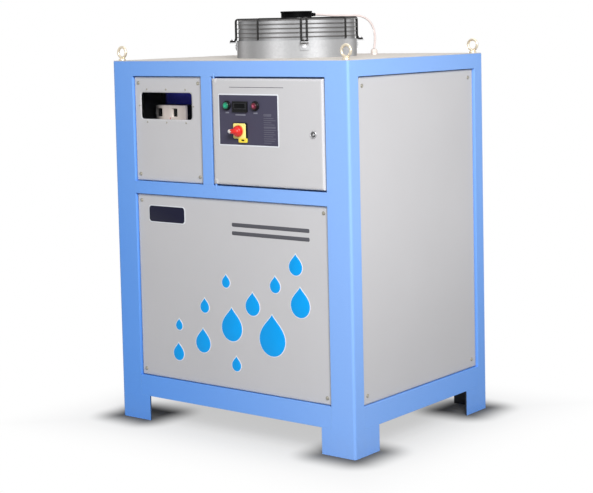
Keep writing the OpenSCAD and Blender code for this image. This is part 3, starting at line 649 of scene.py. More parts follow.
def rounded_path(points, radius, steps=6):
    """Path through points with its inner corners rounded."""
    path = [points[0]]
    for before, corner, after in zip(points, points[1:], points[2:]):
        to_before, to_after = before - corner, after - corner
        start = corner + to_before.normalized() * min(radius, to_before.length * 0.499)
        end = corner + to_after.normalized() * min(radius, to_after.length * 0.499)
        for step in range(steps + 1):
            share = step / steps
            path.append(start * (1 - share) ** 2 + corner * 2 * share * (1 - share) + end * share ** 2)
    path.append(points[-1])
    return path


def thread_profile(crest, root, start, pitch, count):
    """Saw-toothed side of a thread that runs back from a start, as radius and height."""
    flank = 0.0007
    profile = []
    for turn in range(count):
        profile += [(crest, start - turn * pitch), (root, start - flank - turn * pitch)]
    return profile


class Shape:
    """Faces of one piece, each with one of the piece's finishes, and with the first where none is named."""

    def __init__(self, *finishes):
        self.mesh = bmesh.new()
        self.finishes = finishes

    def face(self, corners, finish):
        self.mesh.faces.new(corners).material_index = self.finishes.index(finish) if finish else 0

    def loft(self, rings, finish=None, join=False):
        """Skins closed rings of points in their order, and joins the last to the first or caps both."""
        made = [[self.mesh.verts.new(point) for point in ring] for ring in rings]
        pairs = list(zip(made, made[1:]))
        if join:
            pairs.append((made[-1], made[0]))
        for low, high in pairs:
            for i in range(len(low)):
                j = (i + 1) % len(low)
                self.face((low[i], low[j], high[j], high[i]), finish)
        if not join:
            self.face(made[0][::-1], finish)
            self.face(made[-1], finish)

    def lathe(self, place, profile, steps, finish=None, join=False):
        """Turns a profile of radius and height about the place's Z."""
        rings = [[place @ polar(radius, angle, height) for angle in angles(steps)]
                 for radius, height in profile]
        self.loft(rings, finish, join)

    def slab(self, place, outline, low, high, bevel, finish=None):
        """Plate from an outline, with a rounded front edge."""
        rings = [raised(place, inset_outline(outline, 0.0), low)]
        for step in range(4):
            angle = math.pi / 2 * step / 3
            inset = inset_outline(outline, bevel * (1 - math.cos(angle)))
            rings.append(raised(place, inset, high - bevel + bevel * math.sin(angle)))
        self.loft(rings, finish)

    def ledge(self, place, outer, inner, low, high, floor, bevel, finish=None):
        """Frame between two outlines, with a rounded top and an inside that goes down to a floor."""
        levels = ((outer, low), (outer, high - bevel), (inset_outline(outer, bevel), high),
                  (inset_outline(inner, -bevel), high), (inner, high - bevel), (inner, floor))
        self.loft([raised(place, outline, height) for outline, height in levels], finish, join=True)

    def tube(self, path, radius, sides=10):
        """Round rod along a path."""
        rings = []
        side = last = None
        for index, point in enumerate(path):
            along = (path[min(index + 1, len(path) - 1)] - path[max(index - 1, 0)]).normalized()
            side = last.rotation_difference(along) @ side if last else along.orthogonal().normalized()
            last = along
            other = along.cross(side)
            rings.append([point + radius * (math.cos(angle) * side + math.sin(angle) * other)
                          for angle in angles(sides)])
        self.loft(rings)

    def hoop(self, place, reach, radius, steps=96, sides=8, finish=None):
        """Wire ring about the place's Z."""
        section = [(reach + radius * math.cos(angle), radius * math.sin(angle)) for angle in angles(sides)]
        self.lathe(place, section, steps, finish, join=True)

    def pan_head(self, place, width, height, steps=32, finish=None):
        """Pan head of a screw with a cross recess."""
        radius = width / 2
        rings = [[place @ polar(radius, angle) for angle in angles(steps)]]
        for share in (1.0, 0.97, 0.88, 0.74, 0.6, 0.48, 0.36, 0.24, 0.12, 0.03):
            crown = height * (0.45 + 0.55 * math.sqrt(1 - share ** 2.4))
            ring = []
            for angle in angles(steps):
                point = polar(radius * share, angle + math.pi / steps, crown)
                narrow, wide = sorted((abs(point.x), abs(point.y)))
                if narrow < radius * 0.14 and wide < radius * 0.6:
                    point.z -= height * 0.5
                ring.append(place @ point)
            rings.append(ring)
        self.loft(rings, finish)

    def hex_bolt(self, place, width, head, washer, finish=None):
        """Hexagon head on a washer."""
        lift, washer_r, corner = head * 0.3, washer / 2, width / math.sqrt(3)
        self.lathe(place, ((washer_r, 0), (washer_r, lift * 0.8), (washer_r - lift * 0.2, lift),
                           (width * 0.3, lift)), 32, finish)
        self.lathe(place, ((corner, lift), (corner, lift + head * 0.85), (corner * 0.9, lift + head),
                           (corner * 0.4, lift + head)), 6, finish)

    def hex_nut(self, place, bore, corner, low, high):
        self.lathe(place, ((bore, high), (corner, high), (corner, low), (bore, low)), 6, join=True)


def add_piece(name, shape, body, slot, *nodes):
    """Makes a shape's object, which rides on a body and may stand for nodes of the frame."""
    bmesh.ops.recalc_face_normals(shape.mesh, faces=shape.mesh.faces)
    mesh = bpy.data.meshes.new(name)
    shape.mesh.to_mesh(mesh)
    shape.mesh.free()
    for key in shape.finishes:
        mesh.materials.append(get_finish(key))
    mesh.polygons.foreach_set("use_smooth", [True] * len(mesh.polygons))
    mesh.set_sharp_from_angle(angle=SHARP_ANGLE)
    made = bpy.data.objects.new(name, mesh)
    bpy.context.scene.collection.objects.link(made)
    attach(made, body)
    if nodes:
        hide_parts(*nodes)


class CHILLER_OT_stage(bpy.types.Operator):
    """Sets the camera, the white world, the floor and the soft lights"""

    bl_idname = "chiller.stage"
    bl_label = "Stage"

    def execute(self, context):
        stage = context.scene.chiller_stage
        context.scene.view_settings.view_transform = "Standard"
        self.add_camera(context.scene, stage)
        self.add_world(context.scene, stage)
        self.add_floor(context.scene, stage)
        for name, size, at in LIGHTS:
            self.add_light(context.scene, name, getattr(stage, name + "_power"), size, Vector(at))
        return {"FINISHED"}

    def add_camera(self, scene, stage):
        lens = bpy.data.cameras.new("camera")
        lens.sensor_width = SENSOR_WIDTH
        lens.lens = stage.lens
        lens.shift_y = (stage.horizon - IMAGE_HEIGHT / 2) / IMAGE_WIDTH
        camera = bpy.data.objects.new("camera", lens)
        axes = Matrix((CAMERA_RIGHT, CAMERA_UP, CAMERA_BACK)).transposed()
        camera.matrix_world = Matrix.Translation(CAMERA_AT) @ axes.to_4x4()
        scene.collection.objects.link(camera)
        scene.camera = camera

    def add_world(self, scene, stage):
        world = bpy.data.worlds.new("white")
        world.use_nodes = True
        nodes = Nodes(world.node_tree)
        even = nodes.node("Background", None, {"Color": WHITE, "Strength": stage.ambient})
        white = nodes.node("Background", None, {"Color": WHITE, "Strength": 1.0})
        mixed = nodes.node("MixShader", None, {0: nodes.camera_white(), 1: even, 2: white})
        nodes.node("OutputWorld", None, {"Surface": mixed})
        scene.world = world

    def add_floor(self, scene, stage):
        mesh = bpy.data.meshes.new("floor")
        corners = [(x * FLOOR_HALF, y * FLOOR_HALF, 0) for x, y in ((-1, -1), (1, -1), (1, 1), (-1, 1))]
        mesh.from_pydata(corners, [], [(0, 1, 2, 3)])
        mesh.materials.append(self.floor_material(stage))
        floor = bpy.data.objects.new("floor", mesh)
        scene.collection.objects.link(floor)

    def floor_material(self, stage):
        """Pale floor that is mostly plain white to the camera, with shade around the feet."""
        material = bpy.data.materials.new("floor")
        material.use_nodes = True
        nodes = Nodes(material.node_tree)
        position = nodes.node("NewGeometry", output="Position")
        x, y = (nodes.part(position, axis) for axis in "XY")
        far = nodes.between(nodes.largest(abs(x) - CAD_BOX[1].x, abs(y) - CAD_BOX[1].y), 0.0, FLOOR_FADE)
        middle_y = (FRAME_LOW.y + FRAME_HIGH.y) / 2
        # Painted shadow around each foot's outer part, deepened by ambient occlusion.
        off_x, off_y = (nodes.largest(abs(abs(value) - (edge - FOOT_HALF)) - FOOT_HALF, 0.0)
                        for value, edge in ((x, FRAME_HIGH.x), (y - middle_y, FRAME_HIGH.y - middle_y)))
        from_foot = (off_x * off_x + off_y * off_y) ** 0.5
        around = nodes.node("AmbientOcclusion", {"samples": 16}, {"Distance": 0.24}, "AO")
        colour = nodes.mix(nodes.between(from_foot, *FOOT_SHADE) * (around * 0.38 + 0.62), BLACK, WHITE)
        plain = nodes.node("BsdfDiffuse", None, {"Color": shade(stage.floor)})
        white = nodes.node("Emission", None, {"Color": nodes.mix(far, colour, WHITE), "Strength": 1.0})
        share = nodes.camera_white() * (far * (1 - stage.floor_glow) + stage.floor_glow)
        mixed = nodes.node("MixShader", None, {0: share, 1: plain, 2: white})
        nodes.node("OutputMaterial", None, {"Surface": mixed})
        return material

    def add_light(self, scene, name, power, size, at):
        light = bpy.data.lights.new(name, "AREA")
        light.shape = "DISK"
        light.size = size
        light.energy = power
        lamp = bpy.data.objects.new(name, light)
        aim = (LIGHT_AIM - at).to_track_quat("-Z", "Y")
        lamp.matrix_world = Matrix.Translation(at) @ aim.to_matrix().to_4x4()
        scene.collection.objects.link(lamp)


class CHILLER_OT_cable(bpy.types.Operator):
    """Lays the fan cable from the motor over the guard into its gland"""

    bl_idname = "chiller.cable"
    bl_label = "Fan cable"

    def execute(self, context):
        path = self.centreline()
        curve = bpy.data.curves.new("fan_cable_sheath", "CURVE")
        curve.dimensions = "3D"
        curve.bevel_depth = CABLE_D / 2
        curve.bevel_resolution = 5
        curve.use_fill_caps = True
        spline = curve.splines.new("POLY")
        spline.points.add(len(path) - 1)
        for point, at in zip(spline.points, path):
            point.co = at.to_4d()
        spline.use_smooth = True
        curve.materials.append(get_finish("white_cable"))
        cable = bpy.data.objects.new("fan_cable_sheath", curve)
        context.scene.collection.objects.link(cable)
        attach(cable, "cabinet")
        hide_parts("fan_cable")
        length = sum((after - before).length for before, after in zip(path, path[1:]))
        return {"FINISHED"}

    def centreline(self, steps=20):
        """Points out of the motor's boss, along the guard and down into the gland."""
        ease, rim_swing, gland_lean, gland_swing = 0.030, 0.037, 0.016, 0.078
        lay_z, gland_top = GUARD_TOP + CABLE_D, DECK_Z + GLAND_H
        lay = vectors((BOSS_END, 0, BOSS_Z), (BOSS_END + ease, 0, BOSS_Z),
                      (BOSS_END + ease, 0, lay_z), (SHROUD_R, 0, lay_z))
        drop = vectors((SHROUD_R, 0, lay_z), (SHROUD_R + rim_swing, 0, lay_z),
                       (GLAND_REACH + gland_lean, 0, gland_top + gland_swing), (GLAND_REACH, 0, gland_top))
        path = [bezier(lay, step / steps) for step in range(steps + 1)]
        path += [bezier(drop, step / steps) for step in range(1, steps + 1)]
        place = around_fan(CABLE_TURN)
        return [place @ point for point in path]


class CHILLER_OT_paint(bpy.types.Operator):
    """Gives the sheet steel parts that stay as the frame has them their finishes"""

    bl_idname = "chiller.paint"
    bl_label = "Frame and panels"

    def execute(self, context):
        groups = {
            "frame_blue": [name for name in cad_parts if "post" in name or "rail" in name]
            + ["front_mullion", "control_box", "hinge_pins"],
            "shaded_blue": ["gauge_box"],
            "panel_grey": ["sight_panel", "lower_front_panel", "left_panel", "right_panel", "rear_panel",
                           "control_door", "base_plate"],
            "top_plate_grey": ["top_plate"],
            "clear_pane": ["sight_pane"],
            "galvanised_sheet": ["mounting_plate", "fan_shroud"],
            "slate_overlay": ["overlay_plate"],
        }
        for key, names in groups.items():
            for name in names:
                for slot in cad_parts[name].material_slots:
                    slot.material = get_finish(key)
        return {"FINISHED"}


class CHILLER_OT_screws(bpy.types.Operator):
    """Puts a screw in each corner of the panels and around the sight window"""

    bl_idname = "chiller.screws"
    bl_label = "Panel and window screws"

    def execute(self, context):
        self.add_panel_screws(fittings())
        self.add_window_screws(fittings().pane_screw_d)
        return {"FINISHED"}

    def add_panel_screws(self, sizes):
        washer_r, washer_t, washer_edge = sizes.screw_d * 0.72, 0.0009, 0.0003
        washer = ((washer_r, 0), (washer_r, washer_t - washer_edge), (sizes.screw_d * 0.66, washer_t),
                  (sizes.screw_d * 0.3, washer_t))
        shape = Shape("dull_screw")
        for node, turn in (("sight_panel", 0), ("lower_front_panel", 0), ("right_panel", 90),
                           ("rear_panel", 180), ("left_panel", 270)):
            low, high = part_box(node)
            face = upright(turn=turn)
            half_w, half_h, out = (abs(reach) for reach in face.to_3x3().transposed() @ (high - low) / 2)
            from_side = sizes.side_screw if turn else sizes.screw_side
            from_end = sizes.side_screw if turn else sizes.screw_end
            for side, end in CORNERS:
                spot = Vector((side * (half_w - from_side), end * (half_h - from_end), out))
                place = Matrix.Translation(box_middle(node) + face.to_3x3() @ spot) @ face
                shape.lathe(place, washer, 32)
                shape.pan_head(shifted(place, z=washer_t), sizes.screw_d, sizes.screw_h)
        add_piece("panel_screws", shape, "cabinet", "bright_steel")

    def add_window_screws(self, head_d):
        low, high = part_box("sight_pane")
        panel_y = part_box("sight_panel")[0].y
        middle, half = (low + high) / 2, (high - low) / 2
        across, up = half.x - PANE_LAP - 0.0255, half.z - PANE_LAP / 2 + 0.001
        aside = half.x - PANE_LAP / 2 - 0.002
        spots = [(x, end * up) for x in (-across, 0, across) for end in (-1, 1)] + [(-aside, 0), (aside, 0)]
        shape = Shape("dull_screw")
        for x, z in spots:
            shape.pan_head(upright((middle.x + x, panel_y, middle.z + z)), head_d, head_d * 0.32)
        add_piece("window_screws", shape, "cabinet", "bright_steel")


class CHILLER_OT_guard(bpy.types.Operator):
    """Bends the guard over the fan from ring wires and rods, and bolts its feet down"""

    bl_idname = "chiller.guard"
    bl_label = "Fan guard"

    hub_low = GUARD_TOP - 0.001
    rod_start = 0.054
    ear_z = SHROUD_TOP - 0.004

    def execute(self, context):
        sizes = fittings()
        rod_r = sizes.rod_d / 2
        shape, bolts = Shape("black_wire", "grey_wire"), Shape("bright_steel")
        self.add_rings(shape, sizes)
        self.add_hub(shape)
        for turn in (0, 90, 180, 270):
            self.add_rod(shape, around_fan(turn), rod_r)
        for turn in (45, 135, 225, 315):
            self.add_foot(shape, around_fan(turn), rod_r)
            self.add_bolts(bolts, around_fan(turn), rod_r)
        add_piece("guard_wires", shape, "cabinet", "black_wire", "fan_guard")
        add_piece("guard_bolts", bolts, "cabinet", "bright_steel")
        return {"FINISHED"}

    def add_rings(self, shape, sizes):
        """Ring wires down the side, and ever smaller ones over the top."""
        wire_r = sizes.ring_wire_d / 2
        ring_r, top_z = 0.192, GUARD_TOP - wire_r
        for index in range(sizes.side_rings):
            ring_z = top_z - index * sizes.wire_pitch
            shape.hoop(around_fan(0, ring_z), ring_r, wire_r, finish="grey_wire")
        for index in range(1, sizes.top_rings + 1):
            inner_r = ring_r - index * sizes.wire_pitch
            shape.hoop(around_fan(0, top_z), inner_r, wire_r, 72, finish="grey_wire")

    def add_hub(self, shape):
        """Ring plate that carries the motor."""
        bore_r, hub_r, edge = 0.040, 0.059, 0.001
        shape.lathe(around_fan(), ((bore_r, self.hub_low), (hub_r, self.hub_low), (hub_r, MOTOR_SEAT - edge),
                                   (hub_r - edge, MOTOR_SEAT), (bore_r, MOTOR_SEAT)), 64, join=True)

    def add_rod(self, shape, place, rod_r):
        """Rod from the hub over the top and down to the shroud."""
        over, side = self.hub_low + rod_r, SHROUD_R + rod_r
        corners = vectors((self.rod_start, 0, over), (side, 0, over), (side, 0, SHROUD_TOP + 0.003))
        self.bend_rod(shape, place, corners, 0.008, rod_r)

    def add_foot(self, shape, place, rod_r):
        """Rod from the hub over the top, down to the shroud, out around a bolt and all the way back."""
        over, side = self.hub_low + rod_r, SHROUD_R + rod_r
        half_gap, foot_z, toe = 0.009, self.ear_z + rod_r, SHROUD_R + 0.0205
        out = vectors((self.rod_start, -half_gap, over), (side, -half_gap, over), (side, -half_gap, foot_z),
                      (toe, -half_gap, foot_z))
        back = [Vector((point.x, half_gap, point.z)) for point in reversed(out)]
        self.bend_rod(shape, place, out + back, 0.009, rod_r)

    def bend_rod(self, shape, place, corners, bend, rod_r):
        shape.tube([place @ point for point in rounded_path(corners, bend)], rod_r)

    def add_bolts(self, bolts, place, rod_r):
        """One bolt on a foot, and one below it on the shroud's side."""
        ear = shifted(place, SHROUD_R + 0.012, 0, self.ear_z + 2 * rod_r)
        bolts.hex_bolt(ear, width=0.010, head=0.0042, washer=0.018)
        web = shifted(place, SHROUD_R + 0.003, 0, SHROUD_TOP - 0.019)
        bolts.hex_bolt(turned(web, 90, "Y"), width=0.008, head=0.003, washer=0.013)


class CHILLER_OT_motor(bpy.types.Operator):
    """Turns the fan motor with its ribs, flanges and cable boss"""

    bl_idname = "chiller.motor"
    bl_label = "Fan motor"

    def execute(self, context):
        low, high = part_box("fan_motor")
        dish_z = high.z - 0.0015
        shape = Shape("black_motor", "bright_steel")
        self.add_drum(shape, low.z, high.z, dish_z)
        self.add_ribs(shape, high.z)
        self.add_boss(shape)
        for turn in (22.5, 112.5, 202.5, 292.5):
            bolt = shifted(around_fan(turn), 0.034, 0, dish_z)
            shape.hex_bolt(bolt, width=0.005, head=0.0011, washer=0.008, finish="bright_steel")
        add_piece("motor_housing", shape, "cabinet", "black_motor", "fan_motor")
        return {"FINISHED"}

    def add_drum(self, shape, low, top, dish_z):
        """Neck, flange, drum and dished cap, from the bottom up."""
        bore_r, neck_r, flange_r, drum_r, cap_r = 0.0065, 0.038, 0.049, 0.0465, 0.051
        dish_r, button_r, edge, seat = 0.043, 0.024, 0.0005, MOTOR_SEAT
        shape.lathe(around_fan(), (
            (bore_r, low), (neck_r - 2 * edge, low), (neck_r, low + 2 * edge), (neck_r, seat - edge),
            (flange_r - edge, seat - edge), (flange_r, seat + edge), (flange_r, seat + 0.003),
            (flange_r - edge, seat + 0.0035), (drum_r, seat + 0.004), (drum_r, top - 0.006),
            (cap_r - edge, top - 0.0055), (cap_r, top - 0.005), (cap_r, top - 2 * edge),
            (cap_r - 2 * edge, top), (dish_r, top), (dish_r - 2 * edge, dish_z),
            (button_r + 2 * edge, dish_z), (button_r, top), (0.0005, top)), 96)

    def add_ribs(self, shape, top):
        """Upright ribs around the drum."""
        ribs = fittings().motor_ribs
        rib = vectors((0.046, -0.0012), (0.0488, -0.0007), (0.0488, 0.0007), (0.046, 0.0012))
        for index in range(ribs):
            place = around_fan(360 * index / ribs, MOTOR_SEAT + 0.0035)
            shape.slab(place, rib, 0, top - MOTOR_SEAT - 0.009, 0.0003)

    def add_boss(self, shape):
        """Boss with a ridged sleeve, out of which the cable comes."""
        shape.lathe(turned(around_fan(CABLE_TURN, BOSS_Z), 90, "Y"), (
            (0.006, 0.046), (0.006, 0.0545), (0.0052, 0.055), (0.0052, 0.0565), (0.0058, 0.057),
            (0.0058, 0.0585), (0.005, 0.059), (0.005, 0.0605), (0.0045, BOSS_END), (0.001, BOSS_END)), 28)


class CHILLER_OT_impeller(bpy.types.Operator):
    """Forms the impeller's rotor and its swept, twisted blades"""

    bl_idname = "chiller.impeller"
    bl_label = "Impeller"

    def execute(self, context):
        low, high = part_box("fan_impeller")
        rotor_r, base, top, shaft_r = 0.048, low.z, low.z + 0.070, 0.006
        shape = Shape("black_plastic")
        shape.lathe(around_fan(), (
            (0.002, base), (rotor_r - 0.006, base), (rotor_r - 0.002, base + 0.002), (rotor_r, base + 0.006),
            (rotor_r, top - 0.004), (rotor_r - 0.001, top - 0.001), (rotor_r - 0.004, top), (shaft_r, top),
            (shaft_r, high.z), (0.002, high.z)), 72)
        blades, rows, root_r = fittings().blades, 12, rotor_r - 0.003
        for blade in range(blades):
            place = around_fan(360 * blade / blades)
            shape.loft([self.blade_ring(place, root_r, row / rows) for row in range(rows + 1)])
        add_piece("impeller_blades", shape, "fan", "black_motor", "fan_impeller")
        return {"FINISHED"}

    def blade_ring(self, place, root_r, share, tip_r=0.172, thick=0.003, columns=8):
        """One cross-section of a blade, at a share of the way from its root to its tip."""
        mid_z = DECK_Z + 0.036
        radius = root_r + share * (tip_r - root_r)
        chord = 0.074 + 0.03 * share - 0.02 * share ** 6
        pitch = math.radians(34 - 11 * share)
        sweep = -0.35 * share ** 2
        ring = []
        for face in (1, -1):
            for column in range(columns + 1):
                part = column / columns if face == 1 else 1 - column / columns
                from_middle = abs(2 * part - 1)
                across = (part - 0.5) * chord
                camber = 0.007 * (1 - from_middle ** 2)
                half = face * thick / 2 * (1 - 0.7 * from_middle ** 3)
                height = mid_z + across * math.sin(pitch) + camber + half
                ring.append(place @ polar(radius, sweep + across * math.cos(pitch) / radius, height))
        return ring


class CHILLER_OT_gland(bpy.types.Operator):
    """Builds the cable gland with its hexagon, ribbed cap and seal"""

    bl_idname = "chiller.gland"
    bl_label = "Cable gland"

    # Cross-sections up the cap: radius, height and half depth of the ribs.
    cap = ((0.0098, 0.006, 0), (0.0104, 0.0075, 0.0005), (0.0104, 0.0135, 0.0005), (0.0095, 0.0165, 0.0002),
           (0.0075, 0.019, 0), (0.0055, GLAND_H, 0), (0.0045, 0.0195, 0))

    def execute(self, context):
        place = shifted(around_fan(CABLE_TURN, DECK_Z), GLAND_REACH)
        shape = Shape("grey_nylon", "black_plastic")
        shape.lathe(place, ((0.0125, 0), (0.0125, 0.0055), (0.0112, 0.007), (0.008, 0.007)), 6)
        shape.loft([self.cap_ring(place, *section) for section in self.cap])
        seal_in, seal_r, seal_low = 0.0037, 0.0047, 0.018
        shape.lathe(place, ((seal_in, seal_low), (seal_r, seal_low), (seal_r, GLAND_H + 0.0002),
                            (seal_in, GLAND_H + 0.0006)), 32, "black_plastic", join=True)
        add_piece("gland_cap", shape, "cabinet", "grey_nylon", "cable_gland")
        return {"FINISHED"}

    def cap_ring(self, place, radius, height, rib, steps=48, rib_steps=4):
        """One cross-section of the cap, with ribs to grip it by."""
        ring = []
        for step, angle in enumerate(angles(steps)):
            on_rib = step % rib_steps < rib_steps / 2
            ring.append(place @ polar(radius + (rib if on_rib else -rib), angle, height))
        return ring


class CHILLER_OT_eyes(bpy.types.Operator):
    """Forges the four lifting eyes"""

    bl_idname = "chiller.eyes"
    bl_label = "Lifting eyes"

    def execute(self, context):
        low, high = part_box("lifting_eyes")
        ring_r, rod_r, collar_r = 0.01675, 0.00425, 0.012
        reach = ring_r + rod_r
        collar = ((0.004, 0), (collar_r - 0.0005, 0), (collar_r, 0.0006), (collar_r, 0.0042),
                  (0.0112, 0.0054), (0.0085, 0.0064), (0.0066, 0.0078), (0.0056, 0.0098), (0.003, 0.011))
        shape = Shape("yellow_zinc")
        for x in (low.x + reach, high.x - reach):
            for y in (low.y + collar_r, high.y - collar_r):
                ring = turned(Matrix.Translation((x, y, high.z - reach)), 90, "X")
                shape.hoop(ring, ring_r, rod_r, steps=64, sides=20)
                shape.lathe(Matrix.Translation((x, y, DECK_Z)), collar, 40)
        add_piece("eye_bolts", shape, "cabinet", "yellow_zinc", "lifting_eyes")
        return {"FINISHED"}


class CHILLER_OT_pressure_control(bpy.types.Operator):
    """Moulds the pressure control behind the sight window, with two scale slots and their pointers"""

    bl_idname = "chiller.pressure_control"
    bl_label = "Pressure control"

    slot_w, slot_h, slot_aside = 0.022, 0.026, 0.014
    head_w, head_h = 0.007, 0.0012

    def execute(self, context):
        low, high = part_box("pressure_control")
        width, depth, height = high - low
        middle = box_middle("pressure_control")
        place = upright((middle.x, high.y, middle.z))
        half_in, slot_rise, floor = width / 4, height / 2 - 0.024, depth - 0.010
        shape = Shape("cream_plastic", "dark_glass", "grey_key", "red_plastic", "bright_steel",
                      "black_plastic")
        shape.slab(place, round_outline(width, height, 0.004), 0, floor, 0.001, "black_plastic")
        for side in (-1, 1):
            upper = shifted(place, side * half_in, slot_rise)
            self.add_cover(shape, upper, width / 2 - 0.0005, depth, floor)
            self.add_scale(shape, shifted(upper, -self.slot_aside, 0, floor), side)
        seam = shifted(place, z=depth - 0.002)
        shape.slab(seam, round_outline(0.005, height - 0.012, 0.002), -0.004, 0.0012, 0.0008)
        mark = shifted(place, -0.010, slot_rise - 0.018, depth - 0.001)
        shape.slab(mark, round_outline(0.030, 0.005, 0.002), -0.002, 0.0009, 0.0004, "red_plastic")
        for side in (-1, 1):
            head = shifted(place, side * half_in, -height * 0.38, depth - self.head_h)
            shape.pan_head(head, self.head_w, self.head_h, finish="bright_steel")
        add_piece("pressure_control_cover", shape, "cabinet", "cream_plastic", "pressure_control")
        return {"FINISHED"}

    def add_cover(self, shape, upper, width, depth, floor):
        """Half of the cover: the upper part around its scale slot, and the plain lower part."""
        low, bevel = floor - 0.001, 0.0015
        slot = round_outline(self.slot_w, self.slot_h, 0.002)
        slot = [point - Vector((self.slot_aside, 0)) for point in slot]
        shape.ledge(upper, round_outline(width, 0.047, 0.003), slot, low, depth, low, bevel)
        lower = shifted(upper, y=-0.0545)
        shape.slab(lower, round_outline(width, 0.061, 0.003), low, depth - 0.0004, bevel)

    def add_scale(self, shape, place, side, marks=7):
        """Dark floor of a slot with its scale marks, long at every third one, and its pointer."""
        width, height, floor_t = self.slot_w, self.slot_h, 0.001
        backing = round_outline(width + 0.001, height + 0.001, 0.002)
        shape.slab(place, backing, 0, floor_t, 0.0002, "dark_glass")
        for mark in range(marks):
            tick = shifted(place, -width * 0.25, height * (mark - marks // 2) / (marks + 1), floor_t)
            length = 0.004 if mark % 3 else 0.007
            shape.slab(tick, round_outline(length, 0.0006, 0.0003), 0, 0.0003, 0.0001, "grey_key")
        pointer = shifted(place, width * 0.2, -height * 0.12 * side, floor_t)
        shape.slab(pointer, round_outline(0.008, 0.0014, 0.0005), 0, 0.0015, 0.0004, "grey_key")


class CHILLER_OT_print(bpy.types.Operator):
    """Prints the overlay's margin and blank legend bars, and the thin rule above it"""

    bl_idname = "chiller.print"
    bl_label = "Overlay print"

    film = 0.0002

    def execute(self, context):
        low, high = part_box("overlay_plate")
        middle = box_middle("overlay_plate")
        width, height = high.x - low.x, high.z - low.z
        margin, lap, sunk, rise = 0.004, 0.0004, -0.0001, 0.0004
        shape = Shape("pale_legend", "pale_print", "faint_legend")
        shape.ledge(upright((middle.x, high.y, middle.z)),
                    round_outline(width + 2 * margin, height + 2 * margin, 0.004),
                    round_outline(width - lap, height - lap, 0.0015), sunk, rise, sunk, 0.0001, "pale_print")
        self.add_legend(shape)
        self.add_rows(shape, high.x - 0.0305, high.z - 0.055)
        add_piece("overlay_print", shape, "door", "slate_overlay")
        rule = Shape("stripe_print")
        door_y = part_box("control_door")[0].y
        self.add_bar(rule, (low.x + 0.145, door_y, high.z + 0.0235), 0.210, 0.0016, 0.0005)
        add_piece("door_rule", rule, "door", "panel_grey")
        return {"FINISHED"}

    def add_legend(self, shape):
        """One blank bar under each lamp and under the controller."""
        lamp_z, bar_h = box_middle("green_lamp").z, 0.0042
        for node, drop, wide in (("green_lamp", 0.0215, 0.014), ("red_lamp", 0.0215, 0.016),
                                 ("controller", 0.0275, 0.040)):
            self.add_bar(shape, (box_middle(node).x, FACE_Y, lamp_z - drop), wide, bar_h, bar_h * 0.3)

    def add_rows(self, shape, column_x, top_z):
        """Faint blank rows beside the switch, set to the left, with two taller ones."""
        column_w, row_h, row_gap = 0.046, 0.0026, 0.0038
        widths = (0.030, 0.038, 0.046, 0.030, 0.042, 0.046, 0.046, 0.040, 0.044, 0.036, 0.046, 0.042, 0.028)
        tall = {0: 0.0080, 5: 0.0060}
        for row, wide in enumerate(widths):
            height = tall.get(row, row_h)
            at = (column_x - (column_w - wide) / 2, FACE_Y, top_z - height / 2)
            self.add_bar(shape, at, wide, height, height * 0.3, "faint_legend")
            top_z -= height + row_gap

    def add_bar(self, shape, at, wide, tall, radius, finish=None):
        outline = round_outline(wide, tall, radius, 3)
        shape.slab(upright(at), outline, -self.film, self.film, self.film * 0.5, finish)


class CHILLER_OT_lamps(bpy.types.Operator):
    """Fits the green and the red pilot lamp with bezel, domed lens, threaded body and nut"""

    bl_idname = "chiller.lamps"
    bl_label = "Pilot lamps"

    steps = 56

    def execute(self, context):
        for node, lens in (("green_lamp", "green_lens"), ("red_lamp", "red_lens")):
            self.add_lamp(node, lens)
        return {"FINISHED"}

    def add_lamp(self, node, lens):
        low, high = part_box(node)
        middle = box_middle(node)
        place = upright((middle.x, FACE_Y, middle.z))
        shape = Shape("black_plastic", lens, "bright_steel", lens + "_rim", lens + "_core")
        shape.lathe(place, ((0.0150, 0), (0.0150, 0.0026), (0.0146, 0.0036), (0.0134, 0.0044),
                            (0.0127, 0.0070), (0.0122, 0.0082), (0.0114, 0.0084), (0.0108, 0.0078),
                            (0.0106, 0)), self.steps, join=True)
        self.add_lens(shape, place, lens, FACE_Y - low.y)
        self.add_body(shape, place, FACE_Y - high.y)
        add_piece(node + "_fitting", shape, "door", lens, node)

    def add_lens(self, shape, place, lens, front):
        """Dome with painted shade at its rim and a painted highlight in its middle."""
        lens_r, dome_h, rows = 0.0108, 0.0052, 12
        dome = []
        for row in range(rows):
            angle = math.pi / 2 * row / rows
            dome.append((lens_r * math.cos(angle), front - dome_h + dome_h * math.sin(angle)))
        shape.lathe(place, [(0.0104, 0.0002), (lens_r, 0.0010)] + dome[:6], self.steps, lens + "_rim")
        shape.lathe(place, dome[5:10], self.steps, lens)
        shape.lathe(place, dome[9:] + [(0.0003, front)], self.steps, lens + "_core")

    def add_body(self, shape, place, back):
        """Threaded body behind the door, with its nut and two tabs."""
        body_r, edge = 0.0102, 0.0008
        body = thread_profile(crest=0.0106, root=0.0100, start=-0.0002, pitch=0.0014, count=14)
        body += [(body_r, -0.021), (body_r, back + 0.001), (body_r - edge, back), (0.0004, back)]
        shape.lathe(place, body, 40)
        shape.hex_nut(place, bore=0.0096, corner=0.0140, low=-0.0078, high=-0.0036)
        tab = round_outline(0.0028, 0.0060, 0.0004)
        for side in (-1, 1):
            shape.slab(shifted(place, side * 0.0045, 0, back), tab, 0.0001, 0.0040, 0.0003, "bright_steel")


